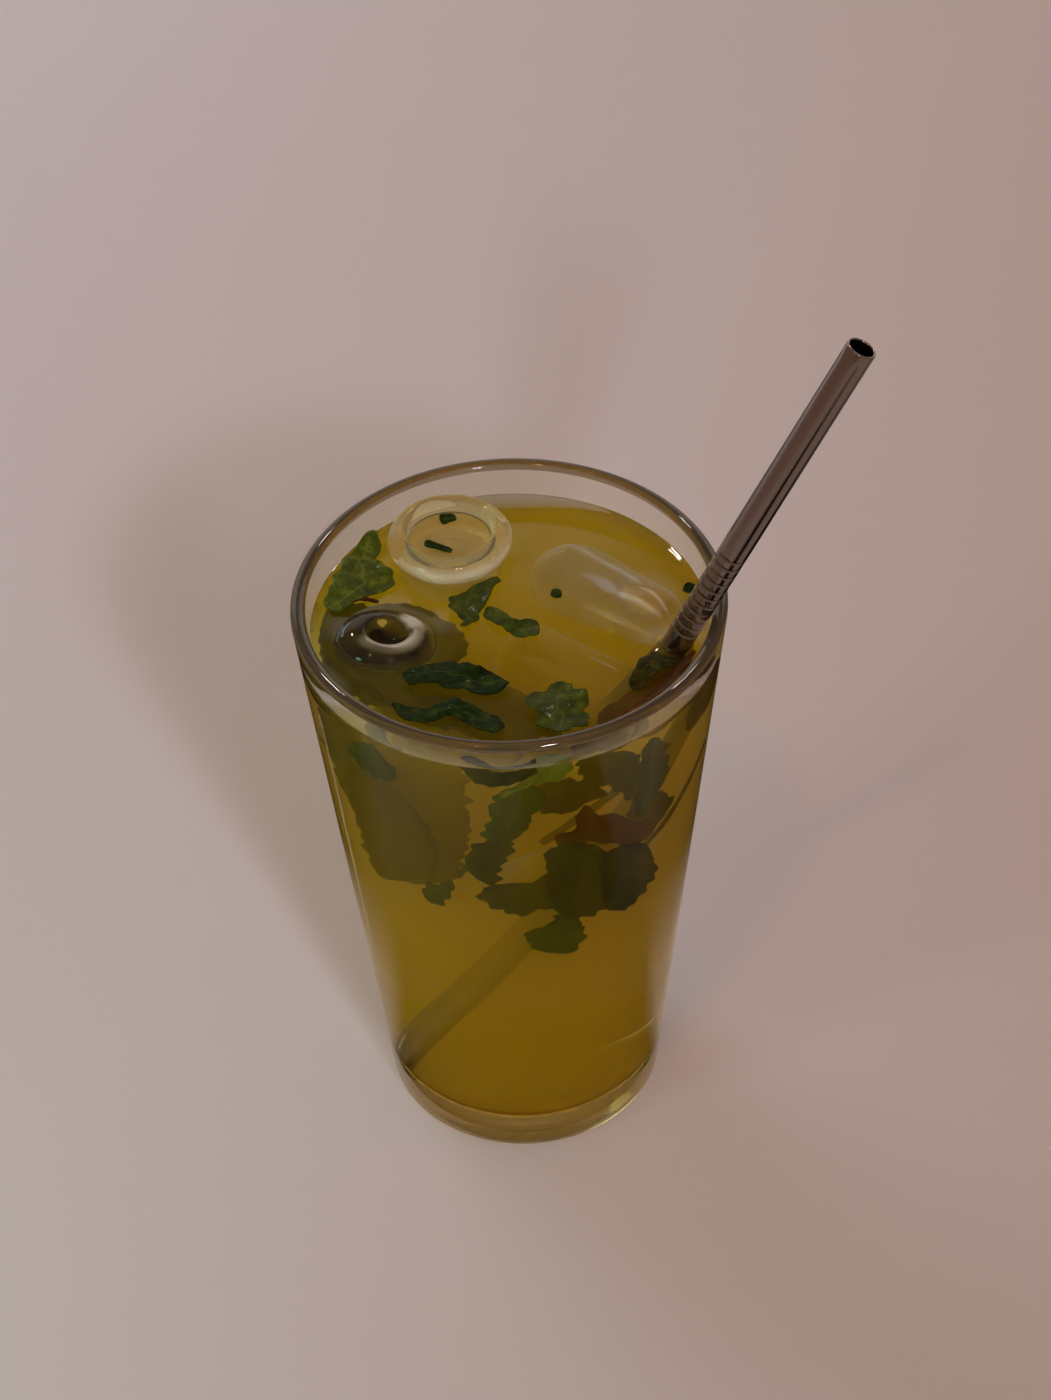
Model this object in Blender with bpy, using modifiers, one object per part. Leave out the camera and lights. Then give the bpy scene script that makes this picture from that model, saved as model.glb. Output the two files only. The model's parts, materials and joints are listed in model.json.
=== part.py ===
"""Iced mate tea in a tapered glass, with a metal straw, hollow bullet ice and herb leaves.

Metres, +Z up. The origin is the middle of the glass's flat foot, and the straw leans towards +X.
"""

import math
from functools import partial

import bmesh
import bpy
import numpy as np
from mathutils import Matrix, Vector

# The glass
HEIGHT = 0.140
LIP_RADIUS = 0.0015
RIM_RADIUS = 0.0445
FOOT_RADIUS = 0.0310
HEEL_RADIUS = 0.0013
WALL = 0.0030
FLOOR_HEIGHT = 0.0085
FLOOR_CORNER = 0.0035
LIP_HEIGHT = HEIGHT - LIP_RADIUS
SLOPE = (RIM_RADIUS - FOOT_RADIUS) / LIP_HEIGHT

# The drink
SURFACE = 0.1315
MENISCUS_RISE = 0.0008
MENISCUS_REACH = 0.0020
GAP = 0.0003

# The straw: a standard 6 x 215 mm metal tube that leans on the lip
STRAW_RADIUS = 0.0030
STRAW_BORE = 0.0025
STRAW_LENGTH = 0.215
STRAW_LEAN = math.radians(25.3)
STRAW_TURN = math.radians(2.0)
STRAW_FOOT = Vector((-0.0240, -0.0100, 0.0101))

# Hollow ice that stands out of the drink at the back
CUP_PLACE = Vector((-0.0119, 0.0240, 0.0))
CUP_TOP = 0.1382
CUP_BOTTOM = 0.1195
CUP_HOLE = 0.0092
HOLE_WAIST = 0.0086
CUP_WIDEST = 0.0131
CUP_WAIST = 0.0112
CUP_WIDEST_AT = 0.1347
CUP_LIP = ((0.0007, 0.0), (0.0022, 0.0007))  # out from its hole, and down from its top
CUP_GIRTH = ((0.0006, 0.0016), (0.0, 0.0), (0.0008, -0.0018))  # in from its widest ring, and up
CUP_END_ROUND = 0.0055
HOLE_FLOOR = 0.1262
HOLE_FLOOR_RADIUS = 0.0062
HOLE_FLOOR_ROUND = 0.0025
HOLE_EDGE = (0.0001, 0.0008)  # in from the hole's radius, and down from the top
MELT_LEVEL = 0.1343

# Oval ice at the left, with a small round mouth
OVAL_PLACE = Vector((-0.0250, -0.0024, 0.1336))
OVAL_RADIUS = 0.0104
OVAL_SQUEEZE = 0.86
OVAL_LENGTH = 0.0270
OVAL_TILT = math.radians(9.0)
OVAL_SHOULDER = 0.0048
OVAL_END_ROUND = 0.0060
MOUTH_RADIUS = 0.0041
MOUTH_DEPTH = 0.0060
MOUTH_LIP = ((0.0005, 0.0002), (0.0017, 0.0001))  # out from the mouth, and down from the top
ICE_TAPER = 0.0005  # how much slimmer the cup's and the oval's closed ends are

# Bullet ice lying at the right, with only its nose above the surface
BULLET_TAIL = Vector((0.0140, 0.0220, 0.1186))
BULLET_NOSE = Vector((0.0286, 0.0058, 0.1254))
TAIL_RADIUS = 0.0096
NOSE_RADIUS = 0.0076

LEAF_THICKNESS = 0.0004
ROUND_STEPS = 60
ICE_STEPS = 28
STRAW_STEPS = 20

LEAF_GRID = (20, 3)
# Ripples of a leaf: share of its wave, turns in radians per millimetre along X and Y, and at the start
RIPPLES = ((1.0, 0.42, 0.26, 0.0), (0.6, -0.31, 0.64, 1.3))

# Each leaf: how far its tip rises and its surface ripples, and pairs of edge points (x, y, x, y)
# across it from base to tip, in millimetres
LEAVES = {
    "leaf_back_left": (2.2, 0.4, (
        (-35.6, 5.4, -33.6, 5.6), (-38.2, 7.4, -31.6, 7.8), (-37.8, 10.4, -27.2, 10.6),
        (-36.4, 12.8, -24.2, 12.4), (-36.4, 15.6, -24, 15.6), (-35, 17.8, -25.6, 18),
        (-34.4, 20, -27.2, 20.6), (-32.4, 22.6, -26.6, 23.4), (-31, 24.8, -27, 25.6),
        (-29.4, 26.6, -28, 27))),
    "leaf_centre": (0, 0.4, (
        (-10.2, -1, -9, -1.2), (-9.6, 0.8, -7.6, 0.2), (-11.2, 3, -6.4, 2), (-12.4, 5.4, -5.8, 4.2),
        (-12.2, 8, -4.4, 6.2), (-10, 9.4, -3.6, 8.2), (-8.4, 11.2, -3.2, 10.2), (-6, 12.2, -1.8, 12),
        (-3.8, 13.4, -2.4, 13.8))),
    "leaf_centre_fold": (0.3, 0.5, (
        (-5.5, 3.2, -5.2, 2.4), (-4.8, 4.5, -4.4, 0.9), (-3.1, 4.6, -3.2, -0.3),
        (-1.7, 3.3, -1.7, -1.6), (-0.7, 1.8, -0.7, -3), (0.3, 0.5, 0.6, -4.1), (1.6, -0.6, 2, -5),
        (3.5, -0.6, 4, -5.6), (5.2, -0.9, 5.6, -5.4), (6, -2.4, 6, -3.8))),
    "leaf_front_dark": (0.2, 0.4, (
        (-0.6, -18.8, -0.7, -19.2), (-2.4, -16.6, -2.8, -21.1), (-4.4, -15.1, -5.3, -21.2),
        (-6.6, -13.2, -8.1, -20.6), (-8.8, -12, -10.3, -19.4), (-11.7, -11.2, -13.3, -19.4),
        (-14.2, -11.4, -15.5, -18.2), (-16.9, -12.4, -18.4, -18), (-19.3, -13, -20.7, -17.1),
        (-21.8, -14.3, -22, -14.7))),
    "leaf_front_wave": (0, 0.4, (
        (-24.1, -23.2, -24.2, -23.6), (-21.1, -23.4, -22.5, -26.6), (-18.4, -24.3, -20.4, -28.5),
        (-15.1, -24.1, -17.1, -28.5), (-12.7, -22.5, -14.3, -27.8), (-10.7, -22.9, -11.2, -27.2),
        (-8.3, -24.5, -9.5, -29.5), (-5.3, -26.1, -7.1, -31.8), (-2.9, -27.8, -4.4, -32.9),
        (-1.8, -30.9, -1.9, -31.4))),
    "leaf_fan": (0.3, 0.5, (
        (8.4, -33.8, 9.8, -33.8), (6.4, -32.2, 12, -32.4), (4.4, -30.4, 14.2, -31),
        (5, -28.4, 14.8, -28.8), (3.2, -26.4, 14, -26.6), (2.8, -23.8, 15.4, -24.4),
        (4.2, -21.6, 14.6, -22), (6.6, -21.2, 12.4, -21.2), (7.4, -19.4, 11.8, -19.6),
        (9, -18.4, 10.2, -18.4))),
    "leaf_by_straw": (0.3, 0.5, (
        (33.2, -13.3, 33.2, -13.5), (31.7, -12.4, 32.4, -15), (30.4, -11.7, 31.2, -15.9),
        (28.7, -11.2, 29.8, -16.8), (27.6, -12.1, 28.6, -17.8), (26.4, -13.4, 27.4, -19),
        (25.5, -14.5, 26.4, -20.1), (24.7, -16.1, 25, -21.2), (24.2, -17.5, 23.8, -20.9),
        (23.4, -19, 23.4, -19.3))),
}

# Loose leaf bits: place, heading in degrees, length, width and the level they float at
BITS = {
    "bit_centre": ((0.0096, 0.0078), 80, 0.0026, 0.0017, SURFACE),
    "bit_wall": ((0.0370, 0.0076), 75, 0.0031, 0.0020, SURFACE),
    "bit_in_ice": ((-0.0140, 0.0306), 10, 0.0035, 0.0025, MELT_LEVEL),
    "sliver_in_ice": ((-0.0172, 0.0234), -29, 0.0064, 0.0012, MELT_LEVEL),
}
BIT_THICKNESS = 0.0007
BIT_GRID = (4, 2)


def clear_scene():
    for item in list(bpy.data.objects):
        bpy.data.objects.remove(item)


def collection(name):
    made = bpy.data.collections.new(name)
    bpy.context.scene.collection.children.link(made)
    return made


def material(name, colour, roughness, metallic=0.0, transmission=0.0, ior=1.45):
    made = bpy.data.materials.new(name)
    made.use_nodes = True
    shader = made.node_tree.nodes["Principled BSDF"]
    shader.inputs["Base Color"].default_value = (*colour, 1.0)
    shader.inputs["Roughness"].default_value = roughness
    shader.inputs["Metallic"].default_value = metallic
    shader.inputs["Transmission Weight"].default_value = transmission
    shader.inputs["IOR"].default_value = ior
    return made


def inner_radius(z):
    """Radius of the glass's inner wall at height z."""
    return FOOT_RADIUS + SLOPE * z - WALL


def outer_radius(z):
    return FOOT_RADIUS + SLOPE * z


def arc(centre_r, centre_z, radius, start, end, count):
    """Points (r, z) of an arc, with angles in degrees from +r towards +z."""
    angles = [math.radians(start + (end - start) * i / count) for i in range(count + 1)]
    return [(centre_r + radius * math.cos(a), centre_z + radius * math.sin(a)) for a in angles]


def turned(name, profile, steps, home, finish=None):
    """A body turned round Z from a profile of (r, z) that runs from the axis back to it."""
    mesh = bpy.data.meshes.new(name)
    points = [(r, 0.0, z) for r, z in profile]
    mesh.from_pydata(points, [(i, i + 1) for i in range(len(points) - 1)], [])
    item = bpy.data.objects.new(name, mesh)
    home.objects.link(item)
    screw = item.modifiers.new("Turn", "SCREW")
    screw.steps = steps
    screw.render_steps = steps
    screw.use_merge_vertices = True
    screw.merge_threshold = 0.00001
    screw.use_smooth_shade = True
    if finish:
        mesh.materials.append(finish)
    return item


def lean_along(item, start, direction):
    """Puts an object's origin at start and its own Z along direction."""
    item.rotation_mode = "QUATERNION"
    item.rotation_quaternion = direction.to_track_quat("Z", "Y")
    item.location = start


def as_cutter(item):
    item.hide_render = True
    item.display_type = "WIRE"
    return item


def cut(item, cutter, operation="DIFFERENCE"):
    boolean = item.modifiers.new(cutter.name, "BOOLEAN")
    boolean.operation = operation
    boolean.object = cutter


def glass_profile():
    """Floor, inner wall, round lip, outer wall, round heel and flat foot."""
    corner_z = FLOOR_HEIGHT + FLOOR_CORNER
    corner_r = inner_radius(corner_z) - FLOOR_CORNER
    heel_r = outer_radius(HEEL_RADIUS) - HEEL_RADIUS
    lip_r = RIM_RADIUS - LIP_RADIUS
    return (
        [(0.0, FLOOR_HEIGHT)]
        + arc(corner_r, corner_z, FLOOR_CORNER, -90, 0, 5)
        + arc(lip_r, LIP_HEIGHT, LIP_RADIUS, 180, 0, 8)
        + arc(heel_r, HEEL_RADIUS, HEEL_RADIUS, 0, -90, 4)
        + [(0.0, 0.0)]
    )


def tea_profile():
    """The surface with its rise at the wall, then down the wall and across the floor."""
    wall_top = SURFACE + MENISCUS_RISE
    top_r = inner_radius(wall_top) - GAP
    rise = []
    for i in range(5):
        share = i / 4
        r = top_r - MENISCUS_REACH * (1.0 - share)
        rise.append((r, SURFACE + MENISCUS_RISE * share ** 3))
    corner = FLOOR_CORNER
    corner_z = FLOOR_HEIGHT + GAP + corner
    corner_r = inner_radius(corner_z) - GAP - corner
    floor = arc(corner_r, corner_z, corner, 0, -90, 5)
    return [(0.0, SURFACE)] + rise + floor + [(0.0, FLOOR_HEIGHT + GAP)]


def straw_profile(outer, bore, length):
    """A tube with rolled ends, which starts and ends at the same point of its bore."""
    roll = (outer - bore) / 2
    middle = (outer + bore) / 2
    top = arc(middle, length - roll, roll, 180, 0, 4)
    bottom = arc(middle, roll, roll, 0, -180, 4)
    return top + bottom + [top[0]]


def cup_outside(grow=0.0):
    """Outer side of the hollow ice from its lip down to its closed end."""
    lip = [(CUP_HOLE + out + grow, CUP_TOP - down + grow) for out, down in CUP_LIP]
    girth = [(CUP_WIDEST - inward + grow, CUP_WIDEST_AT + up) for inward, up in CUP_GIRTH]
    waist = [(CUP_WAIST + grow, SURFACE)]
    end_r = CUP_WAIST - ICE_TAPER - CUP_END_ROUND
    end = arc(end_r, CUP_BOTTOM + CUP_END_ROUND, CUP_END_ROUND + grow, 0, -90, 5)
    return lip + girth + waist + end + [(0.0, CUP_BOTTOM - grow)]


def cup_hole():
    """The hollow from the middle of its floor up to the lip."""
    corner = HOLE_FLOOR_ROUND
    floor = arc(HOLE_FLOOR_RADIUS - corner, HOLE_FLOOR + corner, corner, -90, -10, 4)
    edge = (CUP_HOLE - HOLE_EDGE[0], CUP_TOP - HOLE_EDGE[1])
    return [(0.0, HOLE_FLOOR)] + floor + [(HOLE_WAIST, SURFACE), edge]


def melt_profile():
    """Melt water in the hollow, a gap inside the wall of cup_hole."""
    wall = cup_hole()
    below = [(max(r - GAP, 0.0), z + GAP) for r, z in wall[:-2]]
    waterline = [(HOLE_WAIST - GAP, SURFACE), (HOLE_WAIST - GAP, MELT_LEVEL)]
    path = below + waterline + [(0.0, MELT_LEVEL)]
    return path[::-1]


def oval_profile(grow=0.0, mouth=True):
    """Rounded ice on its own Z, with its top at 0; mouth leaves the small hollow open."""
    shoulder = arc(OVAL_RADIUS - OVAL_SHOULDER, -OVAL_SHOULDER, OVAL_SHOULDER + grow, 60, 0, 5)
    end_r = OVAL_RADIUS - ICE_TAPER - OVAL_END_ROUND
    end = arc(end_r, OVAL_END_ROUND - OVAL_LENGTH, OVAL_END_ROUND + grow, 0, -90, 5)
    outside = shoulder + end + [(0.0, -OVAL_LENGTH - grow)]
    if not mouth:
        return [(0.0, grow)] + outside
    bowl = arc(0.0, 0.0, 1.0, -90, -15, 5)
    hollow = [(MOUTH_RADIUS * c, MOUTH_DEPTH * s) for c, s in bowl]
    lip = [(MOUTH_RADIUS + out, -down) for out, down in MOUTH_LIP]
    return [(0.0, -MOUTH_DEPTH)] + hollow[1:] + lip + outside


def bullet_profile(grow=0.0):
    """Two round ends of different radius joined by a cone, on its own Z from tail to nose."""
    length = (BULLET_NOSE - BULLET_TAIL).length
    tilt = math.degrees(math.asin((TAIL_RADIUS - NOSE_RADIUS) / length))
    nose = arc(0.0, length, NOSE_RADIUS + grow, 90, tilt, 8)
    tail = arc(0.0, 0.0, TAIL_RADIUS + grow, tilt, -90, 9)
    nose[0] = (0.0, nose[0][1])
    tail[-1] = (0.0, tail[-1][1])
    return nose + tail


def flowing(points, share):
    """A Catmull-Rom curve through the points, share running from 0 to 1 over the whole of it."""
    padded = np.vstack([2 * points[0] - points[1], points, 2 * points[-1] - points[-2]])
    place = share * (len(points) - 1)
    i = min(int(place), len(points) - 2)
    s = place - i
    a, b, c, d = padded[i:i + 4]
    return 0.5 * (
        2 * b + (c - a) * s + (2 * a - 5 * b + 4 * c - d) * s ** 2 + (3 * b - a - 3 * c + d) * s ** 3
    )


def leaf_point(rise, wave, pairs, along, across):
    """A leaf's middle surface: along runs 0 to 1 from its base, across -1 to 1 from edge to edge."""
    left_x, left_y, right_x, right_y = flowing(pairs, along)
    x = left_x * (1 - across) / 2 + right_x * (1 + across) / 2
    y = left_y * (1 - across) / 2 + right_y * (1 + across) / 2
    ripple = sum(k * math.sin(a * x + b * y + turn) for k, a, b, turn in RIPPLES)
    return Vector((x, y, wave * ripple + rise * along ** 2)) / 1000


def bit_point(length, width, along, across):
    """A loose bit: an oval, flat, from its base along X."""
    half = 0.0004 + width / 2 * math.sin(math.pi * along) ** 0.75
    return Vector((length * along, half * across, 0.0))


def thin_solid(name, point, grid, thickness, home, finish):
    """A grid bent by point(along, across), split into triangles and thickened both ways."""
    sheet = bmesh.new()
    bmesh.ops.create_grid(sheet, x_segments=grid[0], y_segments=grid[1], size=1.0)
    for vertex in sheet.verts:
        vertex.co = point((vertex.co.x + 1) / 2, vertex.co.y)
    bmesh.ops.triangulate(sheet, faces=sheet.faces[:], quad_method="FIXED")
    mesh = bpy.data.meshes.new(name)
    sheet.to_mesh(mesh)
    sheet.free()
    mesh.shade_smooth()
    mesh.materials.append(finish)
    item = bpy.data.objects.new(name, mesh)
    home.objects.link(item)
    solid = item.modifiers.new("Thickness", "SOLIDIFY")
    solid.thickness = thickness
    solid.offset = 0.0
    return item


def float_on(item, place, heading, level):
    """Turns a leaf's points to its heading and rests its lowest one on a level."""
    turn = Matrix.Rotation(heading, 4, "Z")
    item.data.transform(turn)
    lowest = min(v.co.z for v in item.data.vertices)
    item.location = (place[0], place[1], level - lowest)


def make_leaves(home, finish):
    clear = SURFACE + GAP + LEAF_THICKNESS / 2
    for name, (rise, wave, pairs) in LEAVES.items():
        point = partial(leaf_point, rise, wave, np.array(pairs))
        leaf = thin_solid(name, point, LEAF_GRID, LEAF_THICKNESS, home, finish)
        float_on(leaf, (0.0, 0.0), 0.0, clear)


def make_bit(name, home, finish):
    """A leaf bit half sunk in what it floats on, which is joined to it."""
    place, heading, length, width, level = BITS[name]
    bit = thin_solid(name, partial(bit_point, length, width), BIT_GRID, BIT_THICKNESS, home, finish)
    float_on(bit, place, math.radians(heading), level)
    return as_cutter(bit)


def main():
    clear_scene()
    parts = collection("mate_tea")
    cutters = collection("cutters")
    clear_glass = material("clear_glass", (0.93, 0.95, 0.92), 0.02, transmission=1.0, ior=1.5)
    tea_finish = material("mate_tea", (0.42, 0.26, 0.02), 0.03, transmission=0.8, ior=1.335)
    ice_finish = material("clear_ice", (0.86, 0.87, 0.82), 0.08, transmission=0.9, ior=1.31)
    steel = material("polished_steel", (0.62, 0.60, 0.58), 0.12, metallic=1.0)
    herb = material("wet_herb_leaf", (0.03, 0.10, 0.015), 0.3)

    turned("glass", glass_profile(), ROUND_STEPS, parts, clear_glass)
    tea = turned("tea", tea_profile(), ROUND_STEPS, parts, tea_finish)

    lean = Vector((
        math.sin(STRAW_LEAN) * math.cos(STRAW_TURN),
        math.sin(STRAW_LEAN) * math.sin(STRAW_TURN),
        math.cos(STRAW_LEAN),
    ))
    tube = straw_profile(STRAW_RADIUS, STRAW_BORE, STRAW_LENGTH)
    straw = turned("metal_straw", tube, STRAW_STEPS, parts, steel)
    lean_along(straw, STRAW_FOOT, lean)
    sheath = STRAW_RADIUS + GAP
    way = [(0.0, STRAW_LENGTH), (sheath, STRAW_LENGTH), (sheath, -STRAW_RADIUS), (0.0, -STRAW_RADIUS)]
    straw_way = as_cutter(turned("straw_way", way, STRAW_STEPS, cutters))
    lean_along(straw_way, STRAW_FOOT, lean)

    cup = turned("ice_cup_back", cup_hole() + cup_outside(), ICE_STEPS, parts, ice_finish)
    cup.location = CUP_PLACE
    cup_room = as_cutter(turned("cup_room", [(0.0, HEIGHT)] + cup_outside(GAP), ICE_STEPS, cutters))
    cup_room.location = CUP_PLACE
    melt = turned("melt_water", melt_profile(), ICE_STEPS, parts, tea_finish)
    melt.location = CUP_PLACE

    squeeze = Matrix.Diagonal((1.0, OVAL_SQUEEZE, 1.0, 1.0))
    tilt = Matrix.Rotation(OVAL_TILT, 4, "Y") @ squeeze
    oval = turned("ice_oval_left", oval_profile(), ICE_STEPS, parts, ice_finish)
    oval_room = as_cutter(turned("oval_room", oval_profile(GAP, mouth=False), ICE_STEPS, cutters))
    for item in (oval, oval_room):
        item.matrix_world = Matrix.Translation(OVAL_PLACE) @ tilt

    reach = BULLET_NOSE - BULLET_TAIL
    bullet = turned("ice_bullet_right", bullet_profile(), ICE_STEPS, parts, ice_finish)
    bullet_room = as_cutter(turned("bullet_room", bullet_profile(GAP), ICE_STEPS, cutters))
    for item in (bullet, bullet_room):
        lean_along(item, BULLET_TAIL, reach)

    for cutter in (straw_way, cup_room, oval_room, bullet_room):
        cut(tea, cutter)
    for name in ("bit_centre", "bit_wall"):
        cut(tea, make_bit(name, cutters, herb), "UNION")
    for name in ("bit_in_ice", "sliver_in_ice"):
        cut(melt, make_bit(name, cutters, herb), "UNION")
    make_leaves(parts, herb)


main()
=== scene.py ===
import json
import math

import bpy
import numpy as np
from mathutils import Matrix, Vector

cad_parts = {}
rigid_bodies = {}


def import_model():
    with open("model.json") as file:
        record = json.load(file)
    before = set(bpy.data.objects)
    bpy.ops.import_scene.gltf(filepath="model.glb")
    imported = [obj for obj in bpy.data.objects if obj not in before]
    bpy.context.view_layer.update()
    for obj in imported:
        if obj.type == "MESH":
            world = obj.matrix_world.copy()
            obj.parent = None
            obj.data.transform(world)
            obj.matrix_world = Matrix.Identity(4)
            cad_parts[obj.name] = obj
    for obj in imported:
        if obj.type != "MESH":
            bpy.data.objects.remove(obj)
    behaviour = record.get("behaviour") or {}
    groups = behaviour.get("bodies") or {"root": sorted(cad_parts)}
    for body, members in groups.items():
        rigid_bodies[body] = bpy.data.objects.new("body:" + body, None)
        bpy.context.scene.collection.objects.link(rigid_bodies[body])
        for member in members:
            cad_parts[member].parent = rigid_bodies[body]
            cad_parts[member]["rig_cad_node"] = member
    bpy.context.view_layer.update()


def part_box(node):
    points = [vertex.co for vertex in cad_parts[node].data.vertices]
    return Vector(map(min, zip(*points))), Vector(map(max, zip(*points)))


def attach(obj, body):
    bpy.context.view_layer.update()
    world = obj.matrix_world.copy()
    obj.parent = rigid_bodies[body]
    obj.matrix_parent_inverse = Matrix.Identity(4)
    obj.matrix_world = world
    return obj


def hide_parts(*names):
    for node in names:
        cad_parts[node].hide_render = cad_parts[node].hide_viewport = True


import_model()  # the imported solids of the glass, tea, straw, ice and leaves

# ---------------------------------------------------------------- sizes, in metres
# The glass, and the band of its lip
RIM_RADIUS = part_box("glass")[1].x
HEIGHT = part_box("glass")[1].z
FOOT_RADIUS = 0.0310
LIP_RADIUS = 0.0015
HEEL_RADIUS = 0.0013
WALL = 0.0030
FLOOR_HEIGHT = 0.0085
FLOOR_CORNER = 0.0035
LIP_HEIGHT = HEIGHT - LIP_RADIUS
LIP_BAND = 0.0006
SLOPE = (RIM_RADIUS - FOOT_RADIUS) / LIP_HEIGHT
GLASS_STEPS = 192

# The tea: its level, how far it reaches into what holds it so that no gap shows, and how it rises
SURFACE = 0.1315
INTO_WALL = 0.00012
RISE = 0.0008
RISE_REACH = 0.0016
STRAW_RISE = 0.0009
CUP_RISE = 0.0005
OVAL_RISE = 0.0004
NOSE_RISE = 0.0004
NOSE_BREAKS = 0.0040  # radius of the bullet's nose where it breaks the surface
MOST_RISE = 0.0011
SWELL = 0.00003
SWELL_LENGTH = 0.011
TEA_STEPS = 180
TEA_RINGS = 84

# The straw, from the middle of its foot, and its grooves, counted along it
STRAW_RADIUS = 0.0030
STRAW_BORE = 0.0025
STRAW_LENGTH = 0.215
STRAW_LEAN = math.radians(25.3)
STRAW_TURN = math.radians(2.0)
STRAW_FOOT = Vector((-0.0240, -0.0100, 0.0101))
STRAW_AXIS = Vector((
    math.sin(STRAW_LEAN) * math.cos(STRAW_TURN),
    math.sin(STRAW_LEAN) * math.sin(STRAW_TURN),
    math.cos(STRAW_LEAN),
))
GROOVE_FIRST = 0.1395
GROOVE_PITCH = 0.0021
GROOVE_COUNT = 11
GROOVE_DEPTH = 0.00014
GROOVE_WIDTH = 0.0004
GROOVE_MARGIN = 0.002
STRAW_STEPS = 64

# The hollow ice at the back, open above
CUP_PLACE = Vector((-0.0119, 0.0240, 0.0))
CUP_TOP = 0.1382
CUP_BOTTOM = 0.1195
CUP_HOLE = 0.0092
HOLE_WAIST = 0.0086
CUP_WIDEST = 0.0131
CUP_WIDEST_AT = 0.1347
CUP_WAIST = 0.0112
CUP_END_RADIUS = 0.0055
CUP_END_IN = 0.0060
HOLE_FLOOR = 0.1262
HOLE_FLOOR_RADIUS = 0.0062
HOLE_CORNER = 0.0025
MELT_LEVEL = 0.1343

# The oval ice at the left, from the middle of its mouth
OVAL_PLACE = Vector((-0.0250, -0.0024, 0.1336))
OVAL_RADIUS = 0.0104
OVAL_SQUEEZE = 0.86
OVAL_LENGTH = 0.0270
OVAL_TILT = math.radians(9.0)
OVAL_SHOULDER = 0.0048
OVAL_END_RADIUS = 0.0060
OVAL_END_IN = 0.0065
MOUTH_RADIUS = 0.0041
MOUTH_DEPTH = 0.0060

# Ice at the right and two sunken pieces, each with two round ends: their middles and radii
BULLET_TAIL = Vector((0.0140, 0.0220, 0.1186))
BULLET_NOSE = Vector((0.0286, 0.0058, 0.1254))
TAIL_RADIUS = 0.0096
NOSE_RADIUS = 0.0076

SUNK_TAIL = Vector((0.0050, -0.0010, 0.1150))
SUNK_NOSE = Vector((0.0190, -0.0110, 0.1185))
SUNK_TAIL_RADIUS = 0.0092
SUNK_NOSE_RADIUS = 0.0070

LOW_TAIL = Vector((-0.0030, -0.0220, 0.0880))
LOW_NOSE = Vector((0.0050, -0.0190, 0.0920))
LOW_RADIUS = 0.0042

# White bands along the bullets, partly frosted white and partly painted highlights of the lamps' streaks
# on the wet ice: lean, width in degrees, start and end along the axis, most
BULLET_BANDS = (
    (0.42, 7.0, -0.008, 0.020, 0.9), (0.82, 3.5, -0.004, 0.026, 0.7),
    (-0.30, 5.0, 0.018, 0.030, 0.8), (0.20, 4.0, 0.020, 0.032, 0.8),
)
SUNK_BANDS = ((0.75, 2.5, -0.006, 0.020, 0.7), (0.30, 4.0, 0.012, 0.022, 0.5))
LOW_BANDS = ((0.0, 30.0, -0.006, 0.014, 0.8),)
BAND_SOFT = 0.002

# White rime on the hollow ice: the way it faces, and where it lies, as from, to and softness
RIME_FACING = math.radians(-50)
CUP_WHITE = (0.1322, 0.1368, 0.0012)  # heights
CRESCENT_BACK = 0.0016
CRESCENT = (0.0050, 0.0070, 0.0007)  # radii
WEDGE_FACING = math.radians(38)
WEDGE = (0.0040, 0.0088, 0.0012)  # radii
RIME_DEPTH = 0.0042
DRIFT_LENGTH = 0.007

# The skin of all ice, and the angle that counts as an edge where it is cut out of the tea
ICE_STEPS = 96
ICE_OVERLAP = 0.00004  # how far the ice reaches into the drink's cut-outs
LUMP = 0.00016
LUMP_LENGTH = 0.009
EDGE_ANGLE = math.radians(32)

# Leaves, bits and stems
LEAF_THICKNESS = 0.0003
LEAF_CLEAR = 0.0005  # lowest point of a floating leaf over the surface
BIT_CLEAR = 0.0001
BIT_BASE = 0.0004
BIT_VEIN_DEPTH = 0.00006
NARROW = 0.0005  # where a leaf is about this narrow, its edges fray less
TOWARDS_EYE = (0.0, -0.6, 0.8)
STEM_SIDE = (0.30, 0.55, 0.78)
RAGGED = 0.00048
RAGGED_SUNK = 0.00080
RAGGED_LENGTH = 0.0028
FINE_RIPPLE = 0.00012
FINE_LENGTH = 0.004
SUNK_WAVE = 0.7
VEIN_DEPTH = 0.00005
# Ripples of a leaf: share of its wave, turns in radians per millimetre along X and Y, and at the start
RIPPLES = ((1.0, 0.42, 0.26, 0.0), (0.6, -0.31, 0.64, 1.3))


# ---------------------------------------------------------------- arrays and meshes
def arc(centre_r, centre_z, radius, start, end, count):
    """Points (r, z) = centre + radius (cos a, sin a), with a from start to end in degrees."""
    a = np.radians(np.linspace(start, end, count + 1))
    return np.column_stack([centre_r + radius * np.cos(a), centre_z + radius * np.sin(a)])


def line(start, end, count):
    """Evenly spaced points from start to end, both included."""
    return np.linspace(np.array(start, float), np.array(end, float), count)


def flowing(points, count):
    """Catmull-Rom curve through the points: each stretch is the cubic that leaves a point along
    the chord of its neighbours."""
    points = np.asarray(points, float)
    padded = np.vstack([2 * points[0] - points[1], points, 2 * points[-1] - points[-2]])
    t = np.linspace(0.0, len(points) - 1.0, count)
    i = np.minimum(t.astype(int), len(points) - 2)
    s = (t - i)[:, None]
    a, b, c, d = padded[i], padded[i + 1], padded[i + 2], padded[i + 3]
    return 0.5 * (
        2 * b + (c - a) * s + (2 * a - 5 * b + 4 * c - d) * s ** 2 + (3 * b - a - 3 * c + d) * s ** 3
    )


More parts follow.
